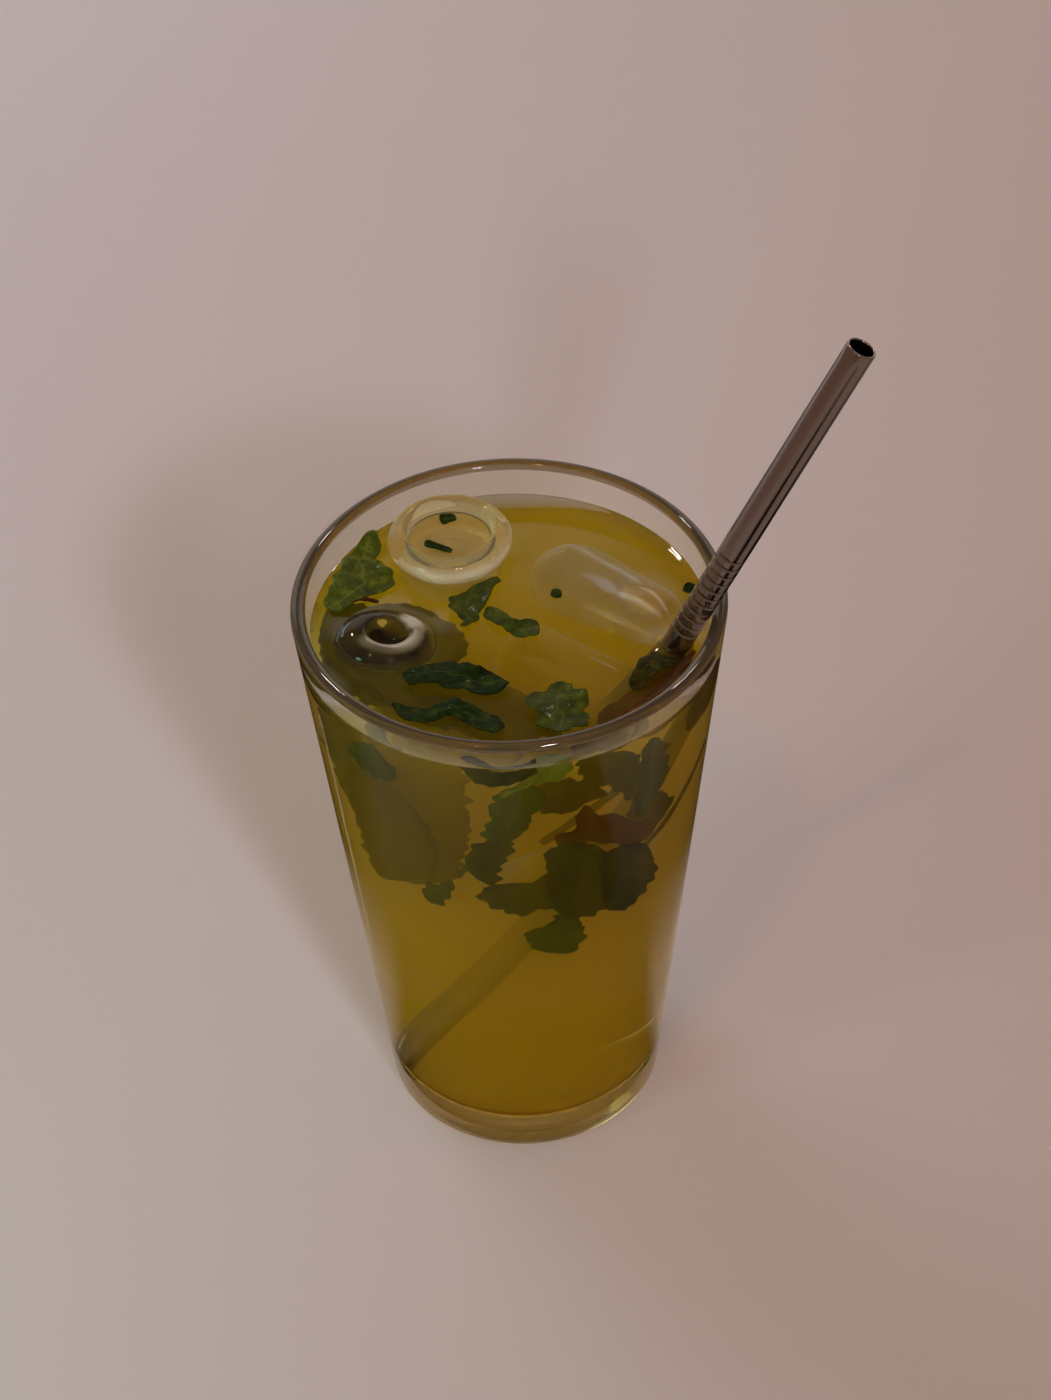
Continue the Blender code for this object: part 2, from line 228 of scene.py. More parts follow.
def quads(rows, columns, around=True, along=False):
    """Corner numbers of a grid's quads, joined round its columns and, if asked, round its rows."""
    i, j = np.meshgrid(
        np.arange(rows if along else rows - 1),
        np.arange(columns if around else columns - 1),
        indexing="ij",
    )
    down, side = (i + 1) % rows, (j + 1) % columns
    corners = [i * columns + j, down * columns + j, down * columns + side, i * columns + side]
    return np.stack(corners, axis=-1).reshape(-1, 4)


def signed_volume(points, triangles):
    """Sum of a · (b × c) / 6 over the triangles, positive when they look outwards."""
    a, b, c = points[triangles].transpose(1, 0, 2)
    return np.einsum("ij,ij->", a, np.cross(b, c)) / 6.0


def mesh_piece(name, points, fours, threes=(), uv=None):
    """An object from arrays of points, quads and triangles. A closed one looks outwards."""
    threes = np.asarray(threes, int).reshape(-1, 3)
    fours = np.asarray(fours, int).reshape(-1, 4)
    cut = np.vstack([fours[:, :3], fours[:, [0, 2, 3]], threes])
    if signed_volume(points, cut) < 0:
        fours, threes = fours[:, ::-1], threes[:, ::-1]
    mesh = bpy.data.meshes.new(name)
    mesh.from_pydata(points.tolist(), [], fours.tolist() + threes.tolist())
    if uv is not None:
        corner = np.zeros(len(mesh.loops), int)
        mesh.loops.foreach_get("vertex_index", corner)
        layer = mesh.uv_layers.new(name="UVMap")
        layer.data.foreach_set("uv", uv[corner].ravel())
    mesh.shade_smooth()
    piece = bpy.data.objects.new(name, mesh)
    bpy.context.scene.collection.objects.link(piece)
    return piece


def rings_of(profile, steps):
    """Rings (r cos t, r sin t, z) of each profile point, t turning once round."""
    t = np.linspace(0.0, 2 * np.pi, steps, endpoint=False)
    r, z = profile[:, 0, None], profile[:, 1, None]
    return np.stack([r * np.cos(t), r * np.sin(t), z + 0 * t], axis=-1)


def capped(name, rings, first, last, uv=None):
    """A closed body of rings with a point at each end."""
    rows, steps = rings.shape[:2]
    points = np.vstack([rings.reshape(-1, 3), first, last])
    side = np.arange(steps)
    ahead = (side + 1) % steps
    low = (rows - 1) * steps
    top_fan = np.column_stack([side, ahead, np.full(steps, rows * steps)])
    end_fan = np.column_stack([low + ahead, low + side, np.full(steps, rows * steps + 1)])
    return mesh_piece(name, points, quads(rows, steps), np.vstack([top_fan, end_fan]), uv)


def waves(points, length, seed, count=9):
    """Twice the mean of sin(k · p + phase), plane waves of one length in seeded directions."""
    draw = np.random.default_rng(seed)
    ways = draw.normal(size=(count, 3))
    ways *= 2 * np.pi / length / np.linalg.norm(ways, axis=1, keepdims=True)
    return np.sin(points @ ways.T + draw.uniform(0, 2 * np.pi, count)).mean(axis=-1) * 2.0


def placed(points, matrix):
    """Points taken through a matrix."""
    m = np.array(matrix)
    return points @ m[:3, :3].T + m[:3, 3]


def turned(name, profile, steps, matrix=Matrix.Identity(4), lump=0.0, seed=0, grow=0.0):
    """A body turned round Z from a profile that starts and ends on the axis. Lumps push each
    ring point out along its own radius, and grow swells it evenly."""
    rings = rings_of(profile[1:-1], steps)
    ends = np.array([[0.0, 0.0, profile[0][1]], [0.0, 0.0, profile[-1][1]]])
    if lump or grow:
        out = rings * (1.0, 1.0, 0.0)
        out /= np.linalg.norm(out, axis=-1, keepdims=True)
        rings = rings + out * (grow + lump * waves(rings, LUMP_LENGTH, seed))[..., None]
    rings, ends = placed(rings, matrix), placed(ends, matrix)
    return capped(name, rings, ends[0], ends[1])


def leaning(start, direction):
    """Matrix that puts Z along direction, from start."""
    turn = direction.to_track_quat("Z", "Y").to_matrix().to_4x4()
    return Matrix.Translation(start) @ turn


# ---------------------------------------------------------------- materials
TEA_TINT = ("FDDA0C", 46.0)  # colour and density per metre
TEA_CLOUD = ("FFDE2A", 46.0, 0.4)  # the same, and the share thrown forwards
# Where along Y the painted shade on the back of the tea's level skin starts and is full
BACK_SHADE_STARTS = 0.0
BACK_SHADE_FULL = 0.022
# Z of the normal of a face that counts as steep, and of one that counts as level
STEEP = 0.3
LEVEL = 0.7
# Roughness where the ice is white, frosted in places and painted with highlights in others
RIME_AND_GLINT_ROUGH = 0.3
# Side veins along a leaf, and how far they sweep forwards from the midrib to the edge
VEINS = 8
VEIN_LEAN = 0.35


def linear(hex_colour):
    """sRGB hex to linear: c/12.92 below 0.04045, else ((c + 0.055)/1.055)^2.4."""
    c = np.array([int(hex_colour[i:i + 2], 16) for i in (0, 2, 4)]) / 255.0
    c = np.where(c <= 0.04045, c / 12.92, ((c + 0.055) / 1.055) ** 2.4)
    return (*c.tolist(), 1.0)


def node(tree, kind, links=None, stops=(), **settings):
    """Adds a node with its settings. A link's value is a socket to join, or a constant. Stops are
    the (position, hex) pairs of a colour ramp."""
    made = tree.nodes.new(kind)
    for key, value in settings.items():
        setattr(made, key, value)
    for key, value in (links or {}).items():
        if isinstance(value, bpy.types.NodeSocket):
            tree.links.new(value, made.inputs[key])
        else:
            made.inputs[key].default_value = value
    if stops:
        bar = made.color_ramp.elements
        while len(bar) < len(stops):
            bar.new(0.5)
        for stop, (place, colour) in zip(bar, stops):
            stop.position = place
            stop.color = linear(colour)
    return made


def new_material(name):
    """A material with an empty tree and an output."""
    made = bpy.data.materials.new(name)
    made.use_nodes = True
    made.node_tree.nodes.clear()
    return made, made.node_tree, made.node_tree.nodes.new("ShaderNodeOutputMaterial")


def let_lamps_through(tree, out, shader, tint):
    """Lamps light what is behind or inside: a shadow ray meets a tinted pane, all else the shader."""
    ray = node(tree, "ShaderNodeLightPath")
    pane = node(tree, "ShaderNodeBsdfTransparent", {"Color": tint})
    mix = node(tree, "ShaderNodeMixShader", {
        0: ray.outputs["Is Shadow Ray"], 1: shader.outputs[0], 2: pane.outputs[0],
    })
    tree.links.new(mix.outputs[0], out.inputs["Surface"])


def fill(tree, out, volume, cloud):
    """What fills a clear body: a colour and a density per metre that absorb, and, if there is a
    cloud, one that scatters with a share of it thrown forwards."""
    colour, density = volume
    inside = node(tree, "ShaderNodeVolumeAbsorption", {"Color": linear(colour), "Density": density})
    if cloud:
        colour, density, forward = cloud
        haze = node(tree, "ShaderNodeVolumeScatter", {
            "Color": linear(colour), "Density": density, "Anisotropy": forward,
        })
        inside = node(tree, "ShaderNodeAddShader", {0: inside.outputs[0], 1: haze.outputs[0]})
    tree.links.new(inside.outputs[0], out.inputs["Volume"])


def outward_mirror(tree, share, level_share):
    """Specular tint of a face: 1 from inside, else share, which turns to level_share, if there is
    one, where the face lies level."""
    surface = node(tree, "ShaderNodeNewGeometry")
    if level_share is not None:
        normal = node(tree, "ShaderNodeSeparateXYZ", {"Vector": surface.outputs["True Normal"]})
        share = node(tree, "ShaderNodeMapRange", {
            "Value": normal.outputs["Z"], "From Min": STEEP, "From Max": LEVEL,
            "To Min": share, "To Max": level_share,
        }).outputs[0]
    links = {0: share, 1: surface.outputs["Backfacing"]}
    return node(tree, "ShaderNodeMath", links, operation="MAXIMUM").outputs[0]


def level_painted_shade(tree, colour, near, far):
    """colour on an upright face, and on a level one a painted shade: a tint a little darker and cooler
    than colour, going from near to far along Y, darker and cooler still behind. The share is the absolute
    Z of the normal."""
    place = node(tree, "ShaderNodeTexCoord").outputs["Object"]
    away = node(tree, "ShaderNodeSeparateXYZ", {"Vector": place}).outputs["Y"]
    back = node(tree, "ShaderNodeMapRange", {
        "Value": away, "From Min": BACK_SHADE_STARTS, "From Max": BACK_SHADE_FULL,
    }).outputs[0]
    top = node(tree, "ShaderNodeMix", {
        "Factor": back, "A": linear(near), "B": linear(far),
    }, data_type="RGBA").outputs["Result"]
    surface = node(tree, "ShaderNodeNewGeometry")
    normal = node(tree, "ShaderNodeSeparateXYZ", {"Vector": surface.outputs["True Normal"]})
    level = node(tree, "ShaderNodeMath", {0: normal.outputs["Z"]}, operation="ABSOLUTE").outputs[0]
    return node(tree, "ShaderNodeMix", {
        "Factor": level, "A": linear(colour), "B": top,
    }, data_type="RGBA").outputs["Result"]


def clear_material(name, colour, ior, roughness, tint, bump=None, volume=None, cloud=None,
                   transmission=1.0, mirror=None, level_mirror=None, dull=None, frost_and_glint=None,
                   film=None, level_shade_tints=None):
    """A clear body that tints lamplight, with an optional fine ripple and an optional filling.

    frost_and_glint is the transmission left where the ice is white, partly frosted white and, on the
    bullets, partly painted highlight, and film its colour where it isn't. dull tints what the body mirrors
    face on, and mirror weakens that outwards only, by level_mirror where the body lies level.
    level_shade_tints gives the painted shade of a level face, its tints in front and behind."""
    made, tree, out = new_material(name)
    links = {
        "Base Color": linear(colour), "IOR": ior, "Roughness": roughness,
        "Transmission Weight": transmission,
    }
    if bump:
        length, depth = bump
        place = node(tree, "ShaderNodeTexCoord").outputs["Object"]
        height = node(tree, "ShaderNodeTexNoise", {
            "Vector": place, "Scale": 1.0 / length, "Detail": 2.0, "Roughness": 0.5,
        }).outputs["Fac"]
        links["Normal"] = node(tree, "ShaderNodeBump", {
            "Height": height, "Distance": depth, "Strength": 1.0,
        }).outputs["Normal"]
    if frost_and_glint is not None:
        white = node(tree, "ShaderNodeAttribute", attribute_name="frost_and_glint").outputs["Fac"]
        whitened = {"Transmission Weight": (transmission, frost_and_glint), "Roughness": (roughness, RIME_AND_GLINT_ROUGH)}
        for socket, (clear, rimed_and_glinting) in whitened.items():
            links[socket] = node(tree, "ShaderNodeMapRange", {
                "Value": white, "To Min": clear, "To Max": rimed_and_glinting,
            }).outputs[0]
        if film is not None:
            links["Base Color"] = node(tree, "ShaderNodeMix", {
                "Factor": white, "A": linear(film), "B": linear(colour),
            }, data_type="RGBA").outputs["Result"]
    if dull is not None:
        links["Specular Tint"] = (*dull, 1.0)
    if mirror is not None:
        links["Specular Tint"] = outward_mirror(tree, mirror, level_mirror)
    if level_shade_tints is not None:
        # Painted shade: the level skin is tinted darker than the upright skin, and darker still behind
        links["Base Color"] = level_painted_shade(tree, colour, *level_shade_tints)
    shader = node(tree, "ShaderNodeBsdfPrincipled", links)
    let_lamps_through(tree, out, shader, linear(tint))
    if volume:
        fill(tree, out, volume, cloud)
    return made


def leaf_material(name, dark, mid, pale, vein, coat=0.05, gloss=0.10):
    """A herb leaf, u along and v across. Its green is mottled. Paler veins lie where
    VEINS · (u - VEIN_LEAN · |v|) is near a whole number, and the midrib where |v| is small. A film of
    water covers it if it is wet, and a share of the light comes through."""
    made, tree, out = new_material(name)
    uv = node(tree, "ShaderNodeUVMap", uv_map="UVMap").outputs["UV"]
    place = node(tree, "ShaderNodeTexCoord").outputs["Object"]
    mottle = node(tree, "ShaderNodeTexNoise", {
        "Vector": place, "Scale": 420.0, "Detail": 5.0, "Roughness": 0.6,
    }).outputs["Fac"]
    green = node(tree, "ShaderNodeValToRGB", {"Fac": mottle}, (
        (0.30, dark), (0.52, mid), (0.74, pale),
    )).outputs["Color"]
    split = node(tree, "ShaderNodeSeparateXYZ", {"Vector": uv})
    across = node(tree, "ShaderNodeMath", {0: split.outputs["Y"]}, operation="ABSOLUTE").outputs[0]
    lean = node(tree, "ShaderNodeMath", {0: across, 1: -VEIN_LEAN, 2: split.outputs["X"]},
                operation="MULTIPLY_ADD").outputs[0]
    beat = node(tree, "ShaderNodeMath", {0: lean, 1: float(VEINS)}, operation="MULTIPLY").outputs[0]
    saw = node(tree, "ShaderNodeMath", {0: beat, 1: 0.5}, operation="PINGPONG").outputs[0]
    side = node(tree, "ShaderNodeMapRange", {
        "Value": saw, "From Min": 0.0, "From Max": 0.07, "To Min": 0.35, "To Max": 0.0,
    }).outputs[0]
    rib = node(tree, "ShaderNodeMapRange", {
        "Value": across, "From Min": 0.0, "From Max": 0.09, "To Min": 0.6, "To Max": 0.0,
    }).outputs[0]
    both = node(tree, "ShaderNodeMath", {0: side, 1: rib}, operation="MAXIMUM").outputs[0]
    colour = node(tree, "ShaderNodeMix", {
        "Factor": both, "A": green, "B": linear(vein),
    }, data_type="RGBA").outputs["Result"]
    height = node(tree, "ShaderNodeMath", {0: mottle, 1: both}, operation="SUBTRACT").outputs[0]
    bump = node(tree, "ShaderNodeBump", {"Height": height, "Distance": 0.00014, "Strength": 0.5})
    shader = node(tree, "ShaderNodeBsdfPrincipled", {
        "Base Color": colour, "Roughness": 0.42, "IOR": 1.42, "Specular IOR Level": gloss,
        "Coat Weight": coat, "Coat Roughness": 0.06, "Normal": bump.outputs["Normal"],
    })
    through = node(tree, "ShaderNodeBsdfTranslucent", {"Color": colour})
    mix = node(tree, "ShaderNodeMixShader", {0: 0.25, 1: shader.outputs[0], 2: through.outputs[0]})
    tree.links.new(mix.outputs[0], out.inputs["Surface"])
    return made


def steel_material():
    """Polished stainless steel tube: drawn lines along its length, worn a little duller in patches."""
    made, tree, out = new_material("polished_stainless_steel")
    uv = node(tree, "ShaderNodeUVMap", uv_map="UVMap").outputs["UV"]
    stretched = node(tree, "ShaderNodeMapping", {"Vector": uv, "Scale": (160.0, 6.0, 1.0)}).outputs[0]
    drawn = node(tree, "ShaderNodeTexNoise", {
        "Vector": stretched, "Scale": 1.0, "Detail": 4.0, "Roughness": 0.6,
    }).outputs["Fac"]
    rough = node(tree, "ShaderNodeMapRange", {
        "Value": drawn, "From Min": 0.3, "From Max": 0.7, "To Min": 0.10, "To Max": 0.20,
    }).outputs[0]
    bump = node(tree, "ShaderNodeBump", {"Height": drawn, "Distance": 0.00002, "Strength": 0.4})
    colour = node(tree, "ShaderNodeValToRGB", {"Fac": drawn}, (
        (0.25, "7C716C"), (0.75, "9A8E88"),
    )).outputs["Color"]
    shader = node(tree, "ShaderNodeBsdfPrincipled", {
        "Base Color": colour, "Metallic": 1.0, "Roughness": rough, "Normal": bump.outputs["Normal"],
    })
    tree.links.new(shader.outputs[0], out.inputs["Surface"])
    return made


# Leaves steeped in the tea: dull, as the tea wets them all round. Dark, middle, pale and vein tones
STEEPED = {
    "steeped": ("0A1604", "1C2E08", "2C4210", "324A14"),
    "steeped_bright": ("142806", "2A420A", "46641A", "4C6820"),
    "steeped_pale": ("4A5C14", "6C8020", "8C9A34", "94A240"),
    "steeped_brown": ("120C02", "221804", "342608", "382C0E"),
    "steeped_red": ("2E0A02", "480E04", "641A08", "6A2A14"),
}


def make_materials():
    """Every finish of the object, by short name."""
    made = {}
    # Soda-lime glass, pressed and fire-polished: clear, with a faint ripple of the mould. The wall
    # outside hardly mirrors the floor, and the wet inside hardly mirrors at all
    made["glass"] = clear_material("pressed_soda_lime_glass", "F4F6F0", 1.50, 0.0, "DAD8D2",
                                   bump=(0.011, 0.00004))
    made["side"] = clear_material("fire_polished_glass_side", "FFFCF0", 1.50, 0.0, "DAD8D2",
                                  bump=(0.011, 0.00004), mirror=0.15)
    made["wet_side"] = clear_material("tea_covered_glass", "FFFCF0", 1.50, 0.0, "DAD8D2",
                                      dull=(0.1, 0.1, 0.1))
    # Painted light in the thick glass: the warm yellow of the base, and the tint of what it mirrors, stand
    # in for the tea's amber light seen through it, and the brown, partly diffuse finish of the round lip
    # stands in for the tea-coloured light that the wall carries up into it
    made["base"] = clear_material("thick_glass_base", "E4CC6C", 1.50, 0.0, "DAD8D2",
                                  dull=(0.9, 0.74, 0.36))
    # Painted light: the lip's brown, partly diffuse finish stands in for tea-coloured light carried up the
    # wall
    made["lip"] = clear_material("rounded_glass_lip", "927E60", 1.50, 0.05, "DAD8D2",
                                 bump=(0.006, 0.00005), transmission=0.76)
    # Brewed mate: a thin cloudy liquid, golden olive in depth. Its level skin carries painted shade: a
    # tint a little darker and cooler than its upright skin, darker and cooler still behind
    made["tea"] = clear_material("brewed_mate_tea", "FFFAD0", 1.335, 0.0, "FFFFFF", volume=TEA_TINT,
                                 cloud=TEA_CLOUD, mirror=0.1, level_mirror=1.0,
                                 level_shade_tints=("F2F3EE", "D6DAF4"))
    # Freezer ice, wetted: glossy above the tea and nearly gone below it, white where it is frosted, and
    # white in bands along the bullets that are partly painted highlights
    made["ice"] = clear_material("wet_hollow_ice", "F2E8BE", 1.31, 0.03, "FAFAF2",
                                 bump=(0.004, 0.00012), transmission=0.88, frost_and_glint=0.25)
    made["thin_ice"] = clear_material("clear_wet_ice", "FAF8EC", 1.31, 0.02, "FCFCF6",
                                      bump=(0.004, 0.00010), transmission=0.98, frost_and_glint=0.15,
                                      film="F0E8A4")
    made["sunk_ice"] = clear_material("sunken_ice_skin", "FBFAEE", 1.31, 0.02, "FFFFFF",
                                      bump=(0.003, 0.0001), transmission=0.96, frost_and_glint=0.45)
    made["lost_ice"] = clear_material("melting_sunken_ice", "FFFEF4", 1.31, 0.02, "FFFFFF",
                                      bump=(0.003, 0.0001), transmission=0.995, frost_and_glint=0.5)
    # Melt water with a trace of tea: a pale level mirror
    made["melt"] = clear_material("melt_water_with_tea", "FFFFFF", 1.333, 0.0, "FFFFFF",
                                  volume=("F4EED0", 25.0))
    made["steel"] = steel_material()
    # Fresh herbs, wet: mottled green with paler veins, and hardly any gloss on the dark ones
    made["leaf"] = leaf_material("fresh_coriander_leaf", "2A3808", "4A5610", "6E7420", "70782C")
    made["bright"] = leaf_material("fresh_mint_leaf", "34480A", "5A6814", "949834", "8A9238")
    made["deep"] = leaf_material("dark_wet_leaf", "0C1602", "22360A", "4A5E12", "4A5E18",
                                 coat=0.03, gloss=0.06)
    made["olive"] = leaf_material("olive_wet_leaf", "1C1A06", "3E3A0E", "6A6420", "5E5A20",
                                  coat=0.03, gloss=0.06)
    made["stem"] = leaf_material("purple_herb_stem", "3A1A10", "5A2A18", "7A4028", "7A4028")
    for name, tones in STEEPED.items():
        made[name] = leaf_material(name + "_leaf", *tones, coat=0.0, gloss=0.0)
    return made


# ---------------------------------------------------------------- glass and straw
def outer_radius(z):
    """Radius of the wall outside: the foot's, plus slope · z."""
    return FOOT_RADIUS + SLOPE * z


def inner_radius(z):
    """Radius of the wall inside."""
    return FOOT_RADIUS + SLOPE * z - WALL


def make_glass(finishes):
    """Floor, inner wall, round lip, outer wall, round heel and flat foot, turned round Z."""
    corner_z = FLOOR_HEIGHT + FLOOR_CORNER
    corner_r = inner_radius(corner_z) - FLOOR_CORNER
    heel_r = outer_radius(HEEL_RADIUS) - HEEL_RADIUS
    lip_r = RIM_RADIUS - LIP_RADIUS
    floor = line((0.0, FLOOR_HEIGHT), (corner_r, FLOOR_HEIGHT), 8)[:-1]
    corner = arc(corner_r, corner_z, FLOOR_CORNER, -90, 0, 10)
    lip = arc(lip_r, LIP_HEIGHT, LIP_RADIUS, 180, 0, 20)
    inside = line(corner[-1], lip[0], 40)[1:-1]
    heel = arc(heel_r, HEEL_RADIUS, HEEL_RADIUS, 0, -90, 8)
    outside = line(lip[-1], heel[0], 40)[1:-1]
    foot = line(heel[-1], (0.0, 0.0), 8)[1:]
    profile = np.vstack([floor, corner, inside, lip, outside, heel, foot])
    glass = turned("glass_body", profile, GLASS_STEPS)
    mesh = glass.data
    kinds = ("glass", "side", "wet_side", "lip", "base")
    for finish in kinds:
        mesh.materials.append(finishes[finish])
    middle = np.zeros(len(mesh.polygons) * 3)
    mesh.polygons.foreach_get("center", middle)
    x, y, z = middle.reshape(-1, 3).T
    outer = np.hypot(x, y) > outer_radius(z) - WALL / 2
    kind = np.where(outer & (z > HEEL_RADIUS), kinds.index("side"), kinds.index("glass"))
    kind[~outer & (z > corner_z) & (z < SURFACE)] = kinds.index("wet_side")
    kind[z > LIP_HEIGHT - LIP_BAND] = kinds.index("lip")
    kind[(z <= FLOOR_HEIGHT) | (~outer & (z <= corner_z))] = kinds.index("base")
    mesh.polygons.foreach_set("material_index", kind.astype(np.int32))
    return glass


def make_straw(finish):
    """A tube with rolled ends. Grooves pull the outer radius in by depth · exp(-(2 s/width)²), s from
    each groove, at an even pitch near where the straw crosses the rim."""
    roll = (STRAW_RADIUS - STRAW_BORE) / 2
    middle = (STRAW_RADIUS + STRAW_BORE) / 2
    grooves = GROOVE_FIRST + GROOVE_PITCH * np.arange(GROOVE_COUNT)
    fine = np.arange(grooves[0] - GROOVE_MARGIN, grooves[-1] + GROOVE_MARGIN, GROOVE_WIDTH / 4)
    below = line(roll, fine[0], 30)[:-1]
    above = line(fine[-1], STRAW_LENGTH - roll, 20)[1:]
    heights = np.concatenate([below, fine, above])
    apart = heights[:, None] - grooves[None, :]
    outer = STRAW_RADIUS - GROOVE_DEPTH * np.exp(-(apart / GROOVE_WIDTH * 2) ** 2).sum(axis=1)
    outside = np.column_stack([outer, heights])
    top = arc(middle, STRAW_LENGTH - roll, roll, 0, 180, 8)
    bore = line((STRAW_BORE, STRAW_LENGTH - roll), (STRAW_BORE, roll), 30)
    end = arc(middle, roll, roll, 180, 360, 8)
    profile = np.vstack([outside, top[1:], bore[1:], end[1:-1]])
    rings = rings_of(profile, STRAW_STEPS)
    turn = np.linspace(0.0, 1.0, STRAW_STEPS, endpoint=False)
    uv = np.stack(np.broadcast_arrays(turn[None, :], profile[:, 1, None] / STRAW_LENGTH), axis=-1)
    points = placed(rings, leaning(STRAW_FOOT, STRAW_AXIS)).reshape(-1, 3)
    joined = quads(len(profile), STRAW_STEPS, along=True)
    straw = mesh_piece("straw_tube", points, joined, uv=uv.reshape(-1, 2))
    straw.data.materials.append(finish)
    return straw


# ---------------------------------------------------------------- ice
def cup_outside():
    """Dome lip, bulge and closed round end of the hollow ice, from its lip down."""
    lip = [(CUP_HOLE + 0.0007, CUP_TOP), (CUP_HOLE + 0.0022, CUP_TOP - 0.0007)]
    girth = [(CUP_WIDEST - 0.0006, CUP_WIDEST_AT + 0.0016), (CUP_WIDEST, CUP_WIDEST_AT)]
    waist = [(CUP_WIDEST - 0.0008, CUP_WIDEST_AT - 0.0018), (CUP_WAIST, SURFACE)]
    end = arc(CUP_WAIST - CUP_END_IN, CUP_BOTTOM + CUP_END_RADIUS, CUP_END_RADIUS, 0, -90, 5)
    return np.vstack([lip, girth, waist, end, [(0.0, CUP_BOTTOM)]])


def cup_hole():
    """The hollow from the middle of its floor up to the lip."""
    corner_r = HOLE_FLOOR_RADIUS - HOLE_CORNER
    floor = arc(corner_r, HOLE_FLOOR + HOLE_CORNER, HOLE_CORNER, -90, -10, 4)
    wall = [(HOLE_WAIST, SURFACE), (CUP_HOLE - 0.0001, CUP_TOP - 0.0008)]
    return np.vstack([[(0.0, HOLE_FLOOR)], floor, wall])


def oval_outside():
    """Round shoulder, straight side and round end of the oval ice, from its mouth down."""
    shoulder = arc(OVAL_RADIUS - OVAL_SHOULDER, -OVAL_SHOULDER, OVAL_SHOULDER, 60, 0, 8)
    end = arc(OVAL_RADIUS - OVAL_END_IN, OVAL_END_RADIUS - OVAL_LENGTH, OVAL_END_RADIUS, 0, -90, 8)
    return np.vstack([shoulder, end, [(0.0, -OVAL_LENGTH)]])


def oval_mouth():
    """The bowl of the oval ice, a quarter ellipse of the mouth's radius and depth, and its edge."""
    bowl = arc(0.0, 0.0, 1.0, -90, -15, 10) * (MOUTH_RADIUS, MOUTH_DEPTH)
    bowl[0, 0] = 0.0
    return np.vstack([bowl, [(MOUTH_RADIUS + 0.0005, -0.0002), (MOUTH_RADIUS + 0.0017, -0.0001)]])


def bullet(tail, nose, tail_radius, nose_radius):
    """Two round ends of different radius joined by a cone, on its own Z from tail to nose."""
    length = (nose - tail).length
    tilt = math.degrees(math.asin((tail_radius - nose_radius) / length))
    nose_end = arc(0.0, length, nose_radius, 88, tilt, 16)
    tail_end = arc(0.0, 0.0, tail_radius, tilt, -88, 18)
    side = line(nose_end[-1], tail_end[0], 20)[1:-1]
    return np.vstack([[(0.0, length + nose_radius)], nose_end, side, tail_end, [(0.0, -tail_radius)]])


def split_at_waterline(piece, above, below, level):
    """Gives faces whose middle is over the level the first finish and the rest the second."""
    mesh = piece.data
    mesh.materials.append(above)
    mesh.materials.append(below)
    middle = np.zeros(len(mesh.polygons) * 3)
    mesh.polygons.foreach_get("center", middle)
    mesh.polygons.foreach_set("material_index", (middle[2::3] < level).astype(np.int32))


def window(value, low, high, soft):
    """1 between low and high, falling to 0 over soft on both sides."""
    return np.clip((value - low) / soft, 0, 1) * np.clip((high - value) / soft, 0, 1)


def rime_and_glint(piece, share):
    """Writes how white the ice is at each point, from share(points), with drifts in it: frosted white, and
    along the bullets partly painted highlights.
    """
    mesh = piece.data
    points = np.zeros(len(mesh.vertices) * 3)
    mesh.vertices.foreach_get("co", points)
    points = points.reshape(-1, 3)
    white = share(points) * (0.92 + 0.20 * waves(points, DRIFT_LENGTH, seed=61))
    mesh.attributes.new("frost_and_glint", "FLOAT", "POINT").data.foreach_set("value", np.clip(white, 0, 1))


def cup_rime(points):
    """White on the bulge of the hollow ice, between two heights. It grows with the cosine of the
    angle from RIME_FACING, so it is most in front and at its right."""
    x, y, z = (points - CUP_PLACE).T
    facing = np.clip(1.3 * (np.cos(np.arctan2(y, x) - RIME_FACING) + 0.30), 0, 1)
    return facing * window(z, *CUP_WHITE) * (np.hypot(x, y) > CUP_HOLE)


def oval_rime(points):
    """White on the near and right side of the hollow, and a wedge on the shoulder beside it: each
    between two radii, growing with the cosine of the angle from the way it faces."""
    x, y, z = (points - OVAL_PLACE).T
    back = y - CRESCENT_BACK
    crescent = np.clip(2.2 * (np.cos(np.arctan2(back, x) - RIME_FACING) + 0.15), 0, 1)
    crescent = crescent * window(np.hypot(x, back), *CRESCENT)
    wedge = np.clip(8.0 * (np.cos(np.arctan2(y, x) - WEDGE_FACING) - 0.86), 0, 1)
    wedge = wedge * window(np.hypot(x, y), *WEDGE)
    return np.maximum(0.7 * crescent, wedge) * (z > -RIME_DEPTH)


def flank_rime_and_glint(tail, nose, bands):
    """White bands along a bullet, partly frosted white and partly painted highlights of the lamps'
    streaks: each a sideways lean of its normal, a width, and its start and end along the axis. A band
    fades as exp(-(angle/width)²) on both sides."""
    axis = np.array(nose - tail)
    axis /= np.linalg.norm(axis)
    side = np.cross(axis, (0.0, 0.0, 1.0))
    side /= -np.linalg.norm(side)
    up = np.cross(side, axis)
    up *= np.sign(up[2])

    def share(points):
        """Sum of the bands at each point."""
        from_tail = points - np.array(tail)
        along = from_tail @ axis
        out = from_tail - along[:, None] * axis
        out /= np.linalg.norm(out, axis=1, keepdims=True) + 1e-9
        white = np.zeros(len(points))
        for lean, width, start, end, most in bands:
            ridge = lean * side + math.sqrt(1 - lean ** 2) * up
            apart = np.degrees(np.arccos(np.clip(out @ ridge, -1, 1)))
            white += most * np.exp(-(apart / width) ** 2) * window(along, start, end, BAND_SOFT)
        return white

    return share


